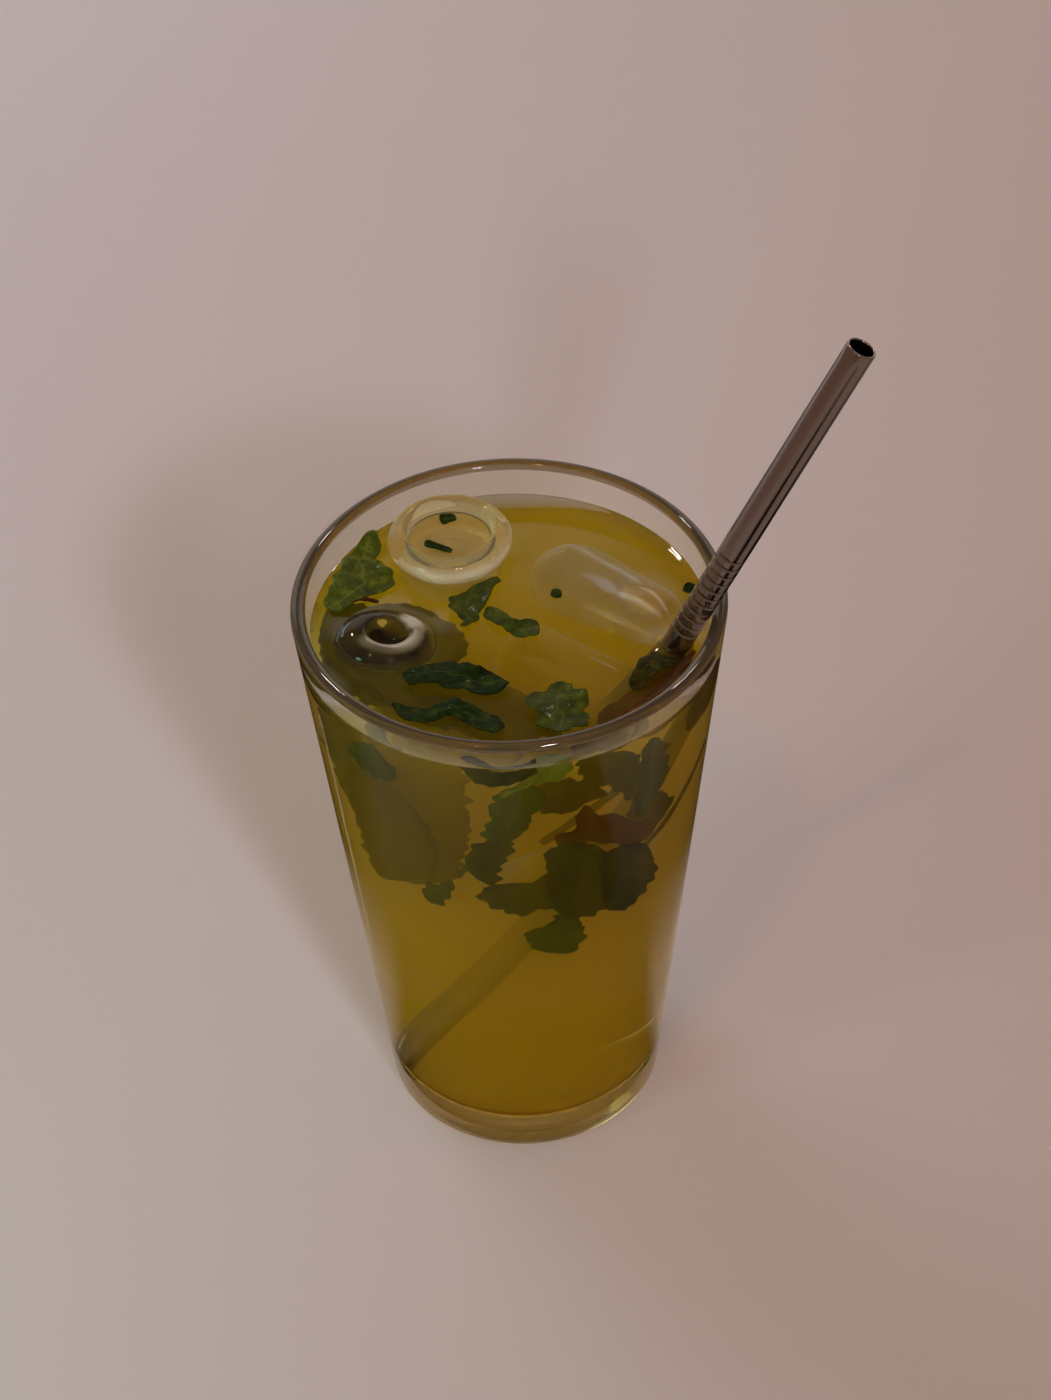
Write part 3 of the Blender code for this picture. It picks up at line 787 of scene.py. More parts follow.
def make_ice(finishes):
    """The three pieces of ice that show at the surface, the two sunken ones, and their cutters."""
    cup_shift = Matrix.Translation(CUP_PLACE)
    squeeze = Matrix.Diagonal((1.0, OVAL_SQUEEZE, 1.0, 1.0))
    oval_shift = Matrix.Translation(OVAL_PLACE) @ Matrix.Rotation(OVAL_TILT, 4, "Y") @ squeeze
    hole = flowing(cup_hole(), 40)
    hole[0] = (0.0, HOLE_FLOOR)
    side = flowing(cup_outside(), 70)
    side[-1] = (0.0, CUP_BOTTOM)
    cup = np.vstack([hole, side])
    mouth = flowing(oval_mouth(), 30)
    mouth[0] = (0.0, -MOUTH_DEPTH)
    shell = flowing(oval_outside(), 60)
    shell[-1] = (0.0, -OVAL_LENGTH)
    oval = np.vstack([mouth, shell])
    bullets = {
        "ice_bullet": (BULLET_TAIL, BULLET_NOSE, TAIL_RADIUS, NOSE_RADIUS, 5),
        "sunken_ice_middle": (SUNK_TAIL, SUNK_NOSE, SUNK_TAIL_RADIUS, SUNK_NOSE_RADIUS, 6),
        "sunken_ice_low": (LOW_TAIL, LOW_NOSE, LOW_RADIUS, LOW_RADIUS * 0.8, 7),
    }
    pieces, cutters = {}, []
    pieces["ice_cup"] = turned("ice_cup", cup, ICE_STEPS, cup_shift, LUMP, 3)
    pieces["ice_oval"] = turned("ice_oval", oval, ICE_STEPS, oval_shift, LUMP, 4)
    closed_cup = np.vstack([[(0.0, CUP_TOP)], side])
    closed_oval = np.vstack([[(0.0, -0.0001)], shell])
    cutters.append(turned("cup_room", closed_cup, ICE_STEPS, cup_shift, LUMP, 3, -ICE_OVERLAP))
    cutters.append(turned("oval_room", closed_oval, ICE_STEPS, oval_shift, LUMP, 4, -ICE_OVERLAP))
    for name, (tail, nose, tail_radius, nose_radius, seed) in bullets.items():
        profile = bullet(tail, nose, tail_radius, nose_radius)
        lean = leaning(tail, nose - tail)
        pieces[name] = turned(name, profile, ICE_STEPS, lean, LUMP, seed)
        cutters.append(turned(name + "_room", profile, ICE_STEPS, lean, LUMP, seed, -ICE_OVERLAP))
    skins = {"ice_cup": ("ice", "sunk_ice"), "ice_oval": ("thin_ice", "lost_ice"),
             "ice_bullet": ("ice", "sunk_ice")}
    for name, piece in pieces.items():
        above, below = skins.get(name, ("lost_ice", "lost_ice"))
        split_at_waterline(piece, finishes[above], finishes[below], SURFACE)
    rime_and_glint(pieces["ice_cup"], cup_rime)
    rime_and_glint(pieces["ice_oval"], oval_rime)
    rime_and_glint(pieces["ice_bullet"], flank_rime_and_glint(BULLET_TAIL, BULLET_NOSE, BULLET_BANDS))
    rime_and_glint(pieces["sunken_ice_middle"], flank_rime_and_glint(SUNK_TAIL, SUNK_NOSE, SUNK_BANDS))
    rime_and_glint(pieces["sunken_ice_low"], flank_rime_and_glint(LOW_TAIL, LOW_NOSE, LOW_BANDS))
    return pieces, cutters


# ---------------------------------------------------------------- tea
def tea_height(x, y):
    """The surface plus a rise · exp(-distance/reach) at the wall, the straw and each piece of ice,
    and a faint swell."""
    entry = STRAW_FOOT + STRAW_AXIS * ((SURFACE - STRAW_FOOT.z) / STRAW_AXIS.z)
    gaps = [
        inner_radius(SURFACE) - np.hypot(x, y),
        np.hypot((x - entry.x) * math.cos(STRAW_LEAN), y - entry.y) - STRAW_RADIUS,
        np.hypot(x - CUP_PLACE.x, y - CUP_PLACE.y) - CUP_WAIST,
        np.hypot(x - OVAL_PLACE.x, (y - OVAL_PLACE.y) / OVAL_SQUEEZE) - OVAL_RADIUS,
        np.hypot(x - BULLET_NOSE.x, y - BULLET_NOSE.y) - NOSE_BREAKS,
    ]
    rises = [RISE, STRAW_RISE, CUP_RISE, OVAL_RISE, NOSE_RISE]
    up = sum(rise * np.exp(-np.maximum(gap, 0.0) / RISE_REACH) for rise, gap in zip(rises, gaps))
    flat = np.stack([x, y, 0 * x], axis=-1)
    return SURFACE + np.minimum(up, MOST_RISE) + SWELL * waves(flat, SWELL_LENGTH, seed=21)


def make_tea(finishes, cutters):
    """Rings across the surface, down the wall and over the floor, then the ice is cut out of it.
    The rings' radius goes with share^0.8, so they crowd towards the wall."""
    wall_top = SURFACE + RISE
    out = INTO_WALL
    top_r = inner_radius(wall_top) + out
    across = top_r * np.linspace(0.0, 1.0, TEA_RINGS + 1)[1:] ** 0.8
    corner_z = FLOOR_HEIGHT - out + FLOOR_CORNER
    corner_r = inner_radius(corner_z) + out - FLOOR_CORNER
    corner = arc(corner_r, corner_z, FLOOR_CORNER, 0, -90, 8)
    wall = line((top_r, wall_top), corner[0], 30)[1:-1]
    floor = line(corner[-1], (0.0, FLOOR_HEIGHT - out), 8)[1:]
    top = rings_of(np.column_stack([across, np.zeros_like(across)]), TEA_STEPS)
    top[..., 2] = tea_height(top[..., 0], top[..., 1])
    low = rings_of(np.vstack([wall, corner, floor[:-1]]), TEA_STEPS)
    rings = np.concatenate([top, low])
    middle = (0.0, 0.0, float(tea_height(np.zeros(1), np.zeros(1))[0]))
    tea = capped("tea_body", rings, middle, (0.0, 0.0, FLOOR_HEIGHT - out))
    tea.data.materials.append(finishes["tea"])
    for cutter in cutters:
        boolean = tea.modifiers.new(cutter.name, "BOOLEAN")
        boolean.operation = "DIFFERENCE"
        boolean.solver = "EXACT"
        boolean.object = cutter
    bpy.context.view_layer.update()
    seen = tea.evaluated_get(bpy.context.evaluated_depsgraph_get())
    carved = bpy.data.meshes.new_from_object(seen)
    tea.modifiers.clear()
    carved.set_sharp_from_angle(angle=EDGE_ANGLE)
    tea.data = carved
    for cutter in cutters:
        bpy.data.objects.remove(cutter)
    return tea


def make_melt(finish):
    """Melt water in the hollow: a level pool that reaches just into the ice."""
    hole = flowing(cup_hole(), 40)
    below = hole[hole[:, 1] < MELT_LEVEL] + (INTO_WALL, -INTO_WALL)
    below[0, 0] = 0.0
    edge = np.interp(MELT_LEVEL, hole[:, 1], hole[:, 0])
    rim = [(edge + INTO_WALL, MELT_LEVEL + 0.0003), (edge - 0.0006, MELT_LEVEL + 0.0001)]
    flat = line((edge - 0.0014, MELT_LEVEL), (0.0, MELT_LEVEL), 8)
    pool = turned("melt_pool", np.vstack([below, rim, flat]), ICE_STEPS, Matrix.Translation(CUP_PLACE))
    pool.data.materials.append(finish)
    return pool


# ---------------------------------------------------------------- leaves
def veins_at(u, v):
    """How much of a vein a point holds: exp(-(v/0.10)²) for the midrib, and half of
    exp(-(sin(VEINS · π · (u - VEIN_LEAN · |v|))/0.35)²) for the side veins."""
    side = np.sin(VEINS * np.pi * (u - VEIN_LEAN * np.abs(v)))
    return np.exp(-(v / 0.10) ** 2) + 0.5 * np.exp(-(side / 0.35) ** 2)


def bit_shape(length, width, wave=0.0001, rows=20, columns=9):
    """Middle surface of a small bit of leaf, u along and v across. Half width: a base + width/2 ·
    sin(π u^0.8)^0.75, waved by cos(2π u) with fine teeth towards the edge. Height: ripples · wave,
    less the veins."""
    u, v = np.meshgrid(np.linspace(0, 1, rows), np.linspace(-1, 1, columns), indexing="ij")
    teeth = 0.05 * np.abs(np.sin(5.0 * np.pi * u + 0.6 * np.sign(v)))
    edge = 1.0 + (0.20 * np.cos(2 * np.pi * u + 0.5 * np.sign(v)) + teeth) * np.abs(v) ** 1.5
    swell = np.sin(np.pi * np.clip(u, 0, 1) ** 0.8).clip(0) ** 0.75
    half = BIT_BASE + width / 2 * swell * edge
    ripple = np.sin(5.5 * u + 1.7 * v) + 0.6 * np.cos(8.0 * u - 2.1 * v)
    frill = 0.35 * np.sin(2 * np.pi * 1.5 * u + 2.0 * v) * v ** 2
    z = wave * (ripple + v ** 2 + frill) - BIT_VEIN_DEPTH * veins_at(u, v)
    return np.stack([length * u, half * v, z], axis=-1), np.stack([u, v], axis=-1)


def nibbled(edge, ragged, seed):
    """How far the rim is eaten or frayed at each point of an edge: waves of two lengths."""
    coarse = waves(edge, RAGGED_LENGTH, seed)
    return ragged * (coarse + 0.2 * waves(edge, RAGGED_LENGTH / 3, seed + 9))


def sheet(pairs, wave, rise=0.0, ragged=RAGGED, rows=96, columns=31, seed=1):
    """Middle surface of a leaf from pairs of edge points across it, in millimetres. A flowing curve
    runs through each edge and row u joins them, v across: p = one · (1 - v)/2 + two · (1 + v)/2. The
    edges are ragged along the way from one to the other. Along the normal: wave · (sin(a·p) + 0.6
    sin(b·p)), a tip raised by rise · u², fine ripples and grooves at the veins."""
    edges = flowing(pairs, rows)
    if edges.shape[1] == 4:
        edges = np.insert(edges, (2, 4), 0.0, axis=1)
    one, two = edges[:, :3] / 1000, edges[:, 3:] / 1000
    rim = np.concatenate([one, two])
    _, _, axes = np.linalg.svd(rim - rim.mean(axis=0))
    normal = axes[2] * np.sign(axes[2] @ TOWARDS_EYE)
    outwards = two - one
    outwards = outwards / (np.linalg.norm(outwards, axis=1, keepdims=True) + NARROW)
    frayed_one, frayed_two = nibbled(one, ragged, seed), nibbled(two, ragged, seed)
    one = one - outwards * frayed_one[:, None]
    two = two + outwards * frayed_two[:, None]
    u, v = np.meshgrid(np.linspace(0, 1, rows), np.linspace(-1, 1, columns), indexing="ij")
    flat = one[:, None] * (1 - v[..., None]) / 2 + two[:, None] * (1 + v[..., None]) / 2
    x, y = flat[..., 0] * 1000, flat[..., 1] * 1000
    ripple = sum(share * np.sin(a * x + b * y + turn) for share, a, b, turn in RIPPLES)
    fine = FINE_RIPPLE * waves(flat, FINE_LENGTH, seed + 80)
    height = (wave * ripple + rise * u ** 2) / 1000 + fine - VEIN_DEPTH * veins_at(u, v)
    return flat + normal * height[..., None], np.stack([u, v], axis=-1)


def leaf_piece(name, shape, finish, level=None, matrix=Matrix.Identity(4)):
    """A leaf's grid in its place, thickened both ways. With a level, its lowest point rests there."""
    points, uv = shape
    rows, columns = points.shape[:2]
    points = placed(points, matrix)
    if level is not None:
        points[..., 2] += level - points[..., 2].min()
    joined = quads(rows, columns, around=False)
    leaf = mesh_piece(name, points.reshape(-1, 3), joined, uv=uv.reshape(-1, 2))
    solid = leaf.modifiers.new("Thickness", "SOLIDIFY")
    solid.thickness = LEAF_THICKNESS
    solid.offset = 0.0
    leaf.data.materials.append(finish)
    return leaf


# Floating leaves: finish, how far the tip rises and the surface ripples, and pairs of edge points
# (x, y, x, y) across the leaf from base to tip, in millimetres
FLOATING = {
    "leaf_back_left": ("bright", 2.2, 0.4, (
        (-35.6, 5.4, -33.6, 5.6), (-38.2, 7.4, -31.6, 7.8), (-37.8, 10.4, -27.2, 10.6),
        (-36.4, 12.8, -24.2, 12.4), (-36.4, 15.6, -24, 15.6), (-35, 17.8, -25.6, 18),
        (-34.4, 20, -27.2, 20.6), (-32.4, 22.6, -26.6, 23.4), (-31, 24.8, -27, 25.6),
        (-29.4, 26.6, -28, 27))),
    "leaf_centre": ("leaf", 0, 0.4, (
        (-10.2, -1, -9, -1.2), (-9.6, 0.8, -7.6, 0.2), (-11.2, 3, -6.4, 2), (-12.4, 5.4, -5.8, 4.2),
        (-12.2, 8, -4.4, 6.2), (-10, 9.4, -3.6, 8.2), (-8.4, 11.2, -3.2, 10.2), (-6, 12.2, -1.8, 12),
        (-3.8, 13.4, -2.4, 13.8))),
    "leaf_centre_fold": ("leaf", 0.3, 0.5, (
        (-5.5, 3.2, -5.2, 2.4), (-4.8, 4.5, -4.4, 0.9), (-3.1, 4.6, -3.2, -0.3),
        (-1.7, 3.3, -1.7, -1.6), (-0.7, 1.8, -0.7, -3), (0.3, 0.5, 0.6, -4.1), (1.6, -0.6, 2, -5),
        (3.5, -0.6, 4, -5.6), (5.2, -0.9, 5.6, -5.4), (6, -2.4, 6, -3.8))),
    "leaf_front_dark": ("deep", 0.2, 0.4, (
        (-0.6, -18.8, -0.7, -19.2), (-2.4, -16.6, -2.8, -21.1), (-4.4, -15.1, -5.3, -21.2),
        (-6.6, -13.2, -8.1, -20.6), (-8.8, -12, -10.3, -19.4), (-11.7, -11.2, -13.3, -19.4),
        (-14.2, -11.4, -15.5, -18.2), (-16.9, -12.4, -18.4, -18), (-19.3, -13, -20.7, -17.1),
        (-21.8, -14.3, -22, -14.7))),
    "leaf_front_wave": ("deep", 0, 0.4, (
        (-24.1, -23.2, -24.2, -23.6), (-21.1, -23.4, -22.5, -26.6), (-18.4, -24.3, -20.4, -28.5),
        (-15.1, -24.1, -17.1, -28.5), (-12.7, -22.5, -14.3, -27.8), (-10.7, -22.9, -11.2, -27.2),
        (-8.3, -24.5, -9.5, -29.5), (-5.3, -26.1, -7.1, -31.8), (-2.9, -27.8, -4.4, -32.9),
        (-1.8, -30.9, -1.9, -31.4))),
    "leaf_fan": ("leaf", 0.3, 0.5, (
        (8.4, -33.8, 9.8, -33.8), (6.4, -32.2, 12, -32.4), (4.4, -30.4, 14.2, -31),
        (5, -28.4, 14.8, -28.8), (3.2, -26.4, 14, -26.6), (2.8, -23.8, 15.4, -24.4),
        (4.2, -21.6, 14.6, -22), (6.6, -21.2, 12.4, -21.2), (7.4, -19.4, 11.8, -19.6),
        (9, -18.4, 10.2, -18.4))),
    "leaf_by_straw": ("olive", 0.3, 0.5, (
        (33.2, -13.3, 33.2, -13.5), (31.7, -12.4, 32.4, -15), (30.4, -11.7, 31.2, -15.9),
        (28.7, -11.2, 29.8, -16.8), (27.6, -12.1, 28.6, -17.8), (26.4, -13.4, 27.4, -19),
        (25.5, -14.5, 26.4, -20.1), (24.7, -16.1, 25, -21.2), (24.2, -17.5, 23.8, -20.9),
        (23.4, -19, 23.4, -19.3))),
}

# Sunken leaves, and two dark sheets of painted shade at the front right: finish and pairs of edge points
# (x, y, z, x, y, z), in millimetres
SUNKEN = {
    "sunken_leaf_left_deep": ("steeped_brown", (
        (-17, -19, 127, -22, -15, 127), (-9, -22, 124, -27, -14.5, 122), (-8, -23, 117, -28, -13.5, 114),
        (-8, -23.5, 110, -28, -8, 106), (-8, -24, 103, -27, -8, 97), (-9, -23.5, 97, -26, -8, 90),
        (-10, -22, 91.5, -25, -8, 83), (-11, -21, 87, -23.5, -10, 77),
        (-18, -17.5, 82, -21.5, -13.5, 80))),
    "sunken_leaf_left_mass": ("steeped_brown", (
        (-26, -19, 115, -28.5, -15.5, 113), (-22.5, -23, 114.5, -29, -13, 109),
        (-20, -24.5, 111.5, -29, -12, 104.5), (-17, -26.5, 107, -28, -12.5, 98.5),
        (-15, -27, 102, -27, -12.5, 93), (-14.5, -26.5, 97.5, -26.5, -12.5, 88),
        (-15, -25.5, 93, -25.5, -12.5, 82), (-16, -24, 88.5, -24, -14.5, 78.5),
        (-19.5, -21.5, 84.5, -22, -18, 82.5))),
    "sunken_leaf_left_top": ("steeped_bright", (
        (-30, -21.5, 123.5, -30.5, -21, 121.5), (-29, -23, 125.5, -29, -22.5, 119.5),
        (-28, -24.5, 127, -27.5, -24.5, 119), (-26, -26.5, 128.5, -25.5, -26, 118),
        (-25, -28, 127.5, -23.5, -27.5, 118.5), (-23, -29, 126, -22, -29, 120.5),
        (-21.5, -30, 125, -21.5, -30, 122.5))),
    "sunken_leaf_top_band": ("steeped", (
        (-9, -37.5, 131, -10.5, -37, 130.5), (-6.5, -38, 131, -9, -37, 128),
        (-4, -38.5, 131, -7.5, -37, 126), (-1, -38.5, 131, -5, -37.5, 125.5),
        (1, -38.5, 131, -3, -37.5, 126), (3.5, -38.5, 131, -0.5, -37.5, 126.5),
        (4, -38, 129, 2, -38, 128))),
    "sunken_leaf_light_band": ("steeped_pale", (
        (-4, -36.5, 121.5, -2, -36.5, 122), (-3, -36.5, 123.5, 0.5, -36.5, 123.5),
        (-0.5, -37, 125, 3.5, -36.5, 125), (2, -37, 127, 6.5, -36.5, 125.5),
        (4, -37, 128.5, 9, -36, 126.5), (5, -37.5, 131, 10.5, -35.5, 129),
        (7.5, -37, 131.5, 10, -36, 131))),
    "sunken_leaf_centre": ("steeped_bright", (
        (2.5, -36, 124.5, -0.5, -36, 124.5), (5, -35.5, 122, -3, -35.5, 122.5),
        (5, -35, 118.5, -5, -35, 119), (3.5, -35, 115, -5, -34.5, 115.5),
        (2, -35, 112.5, -5.5, -34.5, 112.5), (1, -34.5, 109, -6.5, -34, 109),
        (-1.5, -34.5, 106.5, -4.5, -34, 106.5))),
    "sunken_leaf_teal": ("steeped", (
        (-3, -33.5, 107.5, -5, -33.5, 107.5), (-1, -33.5, 105.5, -8, -32.5, 106),
        (-1.5, -33, 102.5, -9, -32, 103.5), (-2.5, -33, 99.5, -9.5, -32, 100.5),
        (-3.5, -32.5, 97, -10, -31.5, 97.5), (-3.5, -32, 94, -8.5, -31.5, 95),
        (-4, -32, 91.5, -6, -32, 93.5))),
    "sunken_leaf_turquoise": ("steeped_bright", (
        (-13, -30.5, 91.5, -13.5, -30, 91.5), (-12.5, -30, 89.5, -14.5, -29.5, 90),
        (-13, -29.5, 87.5, -15.5, -28.5, 89), (-13.5, -29, 85.5, -17, -28, 88.5),
        (-14.5, -28.5, 84, -18, -27, 87), (-15.5, -28, 82.5, -18.5, -26.5, 85),
        (-17, -27, 82, -18, -26.5, 83))),
    "sunken_cluster_left": ("steeped", (
        (5, -30.5, 83, 8, -30, 83.5), (2, -31, 83.5, 9, -30, 87), (1, -30.5, 81, 9, -30.5, 89.5),
        (-1.5, -30.5, 82, 8, -31, 93), (-3.5, -30.5, 83.5, 6.5, -31.5, 96),
        (-5, -30.5, 85, 5, -31.5, 94), (-7.5, -30, 87, 3, -31.5, 91.5),
        (-7.5, -30.5, 89.5, 0.5, -31.5, 92), (-5.5, -31, 92.5, -3, -31.5, 92.5))),
    "sunken_cluster_mid": ("steeped", (
        (6.5, -32, 83.5, 9, -31, 80), (5.5, -32.5, 88.5, 13.5, -29, 77.5),
        (5, -33, 93.5, 17.5, -26.5, 78.5), (5, -33.5, 99, 19, -26.5, 83.5),
        (6, -33.5, 103.5, 18, -27.5, 88), (10, -33, 105, 17.5, -29, 93),
        (14.5, -31, 101.5, 16.5, -30, 98))),
    "sunken_cluster_right": ("steeped", (
        (16.5, -29.5, 81.5, 17, -28.5, 78.5), (16, -30, 86.5, 20, -26, 76),
        (15.5, -30.5, 91, 23.5, -23, 76.5), (15.5, -31, 95.5, 26, -20.5, 79.5),
        (17.5, -30, 98.5, 26, -20.5, 83.5), (21.5, -27.5, 98, 25.5, -22, 88),
        (23.5, -25, 95, 25, -23.5, 92))),
    "sunken_leaf_trefoil": ("steeped_bright", (
        (8.5, -31, 82.5, 6.5, -31.5, 81.5), (10.5, -30.5, 81, 5.5, -31.5, 79),
        (11, -30, 78.5, 4, -31.5, 77.5), (11.5, -29.5, 76, 1.5, -31.5, 76.5),
        (12, -29, 74, 0.5, -31.5, 74.5), (12, -29, 71.5, 1, -31, 72.5), (11, -29, 69, 2.5, -31, 70.5),
        (10, -29, 67, 4.5, -30.5, 69), (9, -30, 69, 7, -30, 68.5))),
    "sunken_leaf_red": ("steeped_red", (
        (6.5, -33.5, 107.5, 7, -33, 105), (10.5, -33, 109.5, 11, -31.5, 103),
        (10.5, -33, 113, 14, -30.5, 102), (12.5, -32, 114.5, 17, -29, 100),
        (15, -31.5, 111, 19.5, -27, 97.5), (17.5, -29.5, 109.5, 21.5, -25, 95.5),
        (19.5, -28, 107, 24, -22.5, 94), (21, -26.5, 104, 25.5, -21.5, 96.5),
        (22.5, -24.5, 101, 25, -22.5, 100))),
    "sunken_leaf_dark_band": ("steeped_brown", (
        (4, -33.5, 122.5, 3.5, -33.5, 120.5), (7, -33, 124, 3.5, -33, 117),
        (10, -32.5, 124, 4.5, -32.5, 114), (12, -31.5, 122, 7, -32, 114),
        (14, -30.5, 120, 9.5, -31.5, 113), (15.5, -29.5, 117.5, 12, -30.5, 114),
        (16.5, -28.5, 114.5, 15, -29, 114))),
    "sunken_leaf_right_top": ("steeped", (
        (12.5, -32.5, 130.5, 10.5, -33, 128.5), (16, -31, 129.5, 11.5, -32.5, 124.5),
        (19.5, -29, 127.5, 13, -31.5, 121), (21.5, -27.5, 124.5, 15.5, -30, 118),
        (22.5, -26, 121, 18, -28.5, 115.5), (23, -25, 117, 20, -27, 112),
        (23, -24.5, 113, 22.5, -25, 110))),
    "sunken_leaf_right_leaf": ("steeped_bright", (
        (24.5, -27, 127.5, 23, -28, 126), (26.5, -24.5, 124.5, 22.5, -28, 122),
        (27.5, -23, 121, 22, -28, 117.5), (28, -22, 117, 22, -27.5, 113.5),
        (28, -21.5, 113, 21.5, -27.5, 110), (27, -22.5, 109, 21.5, -27, 105.5),
        (25, -24, 105.5, 23.5, -25, 103))),
    "sunken_leaf_right_low": ("steeped", (
        (22, -24, 110, 20.5, -25, 109), (23.5, -22.5, 108, 20, -25, 105.5),
        (25.5, -20, 106, 20, -24.5, 102.5), (27, -18.5, 103.5, 20.5, -24, 99),
        (27.5, -17, 101, 21.5, -23, 96.5), (27, -17.5, 98, 22.5, -21.5, 93.5),
        (25.5, -19.5, 96, 24.5, -20, 93.5))),
    # Painted shade: a dark red sheet where the shadow of the stem by the rim falls
    "sunken_sheet_of_painted_shade": ("steeped_red", (
        (17, -24, 126.5, 16.5, -27, 127), (20.5, -20.5, 126.5, 20, -28.5, 127.5),
        (24, -17.5, 126.5, 23.5, -25, 127.5), (27.5, -14.5, 126.5, 27, -22.5, 128),
        (30.5, -12, 127, 30.5, -19.5, 128), (34.5, -9, 127.5, 33.5, -16.5, 128.5),
        (37.5, -9, 128.5, 36, -12.5, 128.5))),
    "sunken_leaf_under": ("steeped_brown", (
        (-37.5, 11.5, 127.5, -39, 6.5, 127.5), (-33.5, 12, 127, -39.5, 1, 127.5),
        (-29, 11.5, 125.5, -39.5, -4, 127.5), (-24, 12.5, 125, -38, -9, 127.5),
        (-16.5, 9.5, 123.5, -35.5, -14, 127), (-12.5, 6.5, 123, -32, -17, 126.5),
        (-9.5, 2, 122, -27, -19, 126), (-10, -3.5, 122, -23.5, -16.5, 125),
        (-17, -8, 123, -20, -12.5, 124))),
    "sunken_leaf_low": ("steeped_brown", (
        (-31, -13.5, 125.5, -27.5, -18, 127.5), (-29.5, -9, 124, -22.5, -21, 126),
        (-25, -7.5, 122.5, -18.5, -23.5, 126), (-19.5, -7, 121, -13.5, -26, 125.5),
        (-14, -8, 119.5, -8.5, -28.5, 125), (-9.5, -9, 118.5, -4, -29.5, 124.5),
        (-2, -8.5, 117, 4.5, -29, 124), (4, -11, 116.5, 9, -27.5, 123),
        (7.5, -16, 117.5, 9.5, -21.5, 121.5))),
    "sunken_leaf_left_wall": ("steeped_brown", (
        (-26.5, -18, 128, -29, -13, 128), (-26, -18.5, 124, -32, -7, 124), (-26, -18, 118, -31.5, -6, 118),
        (-25.5, -17.5, 111, -31, -5.5, 111), (-25, -17, 104, -30, -6, 104), (-25, -16, 97, -29, -8, 98),
        (-26, -13, 93, -27, -11, 93))),
    # Painted shade: a dark sheet where the top right of the tea lies in shade
    "sunken_sheet_of_painted_shade_right": ("steeped_brown", (
        (33, -10, 128, 35, -5, 128), (30, -16, 125, 36, -3, 125), (30, -15.5, 120, 35, -4, 120),
        (31, -11, 116, 33, -7, 116))),
}

# Stems: finish, radius and the points that each follows
STEMS = {
    "stem_by_rim": ("stem", 0.0007, (
        (0.0372, -0.0092, 0.1302), (0.0310, -0.0175, 0.1296), (0.0240, -0.0245, 0.1290),
        (0.0160, -0.0300, 0.1280))),
    "stem_right": ("steeped", 0.0008, (
        (0.0345, -0.0070, 0.1060), (0.0300, -0.0110, 0.0990), (0.0255, -0.0160, 0.0930),
        (0.0200, -0.0180, 0.0880))),
    "stem_middle": ("steeped_pale", 0.0006, (
        (0.0100, -0.0290, 0.1250), (0.0050, -0.0290, 0.1225), (0.0010, -0.0290, 0.1170),
        (-0.0010, -0.0280, 0.1090))),
    "stem_turquoise": ("steeped", 0.0007, (
        (-0.0110, -0.0250, 0.0900), (-0.0085, -0.0245, 0.0945), (-0.0060, -0.0240, 0.0990))),
    "stem_red": ("steeped_red", 0.0011, (
        (0.0040, -0.0240, 0.1000), (0.0110, -0.0220, 0.1060), (0.0190, -0.0190, 0.1120),
        (0.0260, -0.0150, 0.1170))),
    "stem_back_left": ("stem", 0.0005, (
        (-0.0340, 0.0080, 0.1318), (-0.0308, 0.0095, 0.1319), (-0.0270, 0.0085, 0.1317))),
}

# Loose bits: place, way it points in degrees, length, width and the level that it lies on
BITS = {
    "bit_centre": ((0.0096, 0.0078), 80, 0.0026, 0.0017, SURFACE),
    "bit_wall": ((0.0370, 0.0076), 75, 0.0031, 0.0020, SURFACE),
    "bit_in_ice": ((-0.0140, 0.0306), 10, 0.0035, 0.0025, MELT_LEVEL),
    "sliver_in_ice": ((-0.0172, 0.0234), -29, 0.0064, 0.0012, MELT_LEVEL),
}


def tube(name, path, radius, finish, rows=48, sides=12):
    """Rings square to a flowing path, s along it. Their radius is radius · (0.75 + 0.25 sin(π s)),
    slimmer towards both ends, with faint knots of sin(23 s)."""
    centre = flowing(path, rows)
    along = np.gradient(centre, axis=0)
    along /= np.linalg.norm(along, axis=1, keepdims=True)
    side = np.cross(along, STEM_SIDE)
    side /= np.linalg.norm(side, axis=1, keepdims=True)
    up = np.cross(side, along)
    t = np.linspace(0, 2 * np.pi, sides, endpoint=False)[None, :, None]
    share = np.linspace(0, 1, rows)
    thick = radius * (0.75 + 0.25 * np.sin(np.pi * share)) * (1 + 0.12 * np.sin(23 * share))
    round_it = side[:, None] * np.cos(t) + up[:, None] * np.sin(t)
    rings = centre[:, None] + thick[:, None, None] * round_it
    uv = np.stack(np.broadcast_arrays(share[:, None], np.cos(t[..., 0])), axis=-1).reshape(-1, 2)
    uv = np.vstack([uv, [[0.0, 0.0], [1.0, 0.0]]])
    stem = capped(name, rings, centre[0], centre[-1], uv)
    stem.data.materials.append(finish)
    return stem


def make_leaves(finishes):
    """Floating leaves, each in place of its solid, then those sunken in the tea, among them two dark
    sheets of painted shade.
    """
    floating, sunken = {}, {}
    for seed, (solid, (finish, rise, wave, pairs)) in enumerate(FLOATING.items(), start=1):
        name = solid.replace("leaf", "floating_leaf")
        shape = sheet(pairs, wave, rise, seed=seed)
        floating[solid] = leaf_piece(name, shape, finishes[finish], SURFACE + LEAF_CLEAR)
    for seed, (name, (finish, pairs)) in enumerate(SUNKEN.items(), start=19):
        shape = sheet(pairs, SUNK_WAVE, ragged=RAGGED_SUNK, seed=seed)
        sunken[name] = leaf_piece(name, shape, finishes[finish])
    for name, (finish, radius, path) in STEMS.items():
        sunken[name] = tube(name, path, radius, finishes[finish])
    return floating, sunken


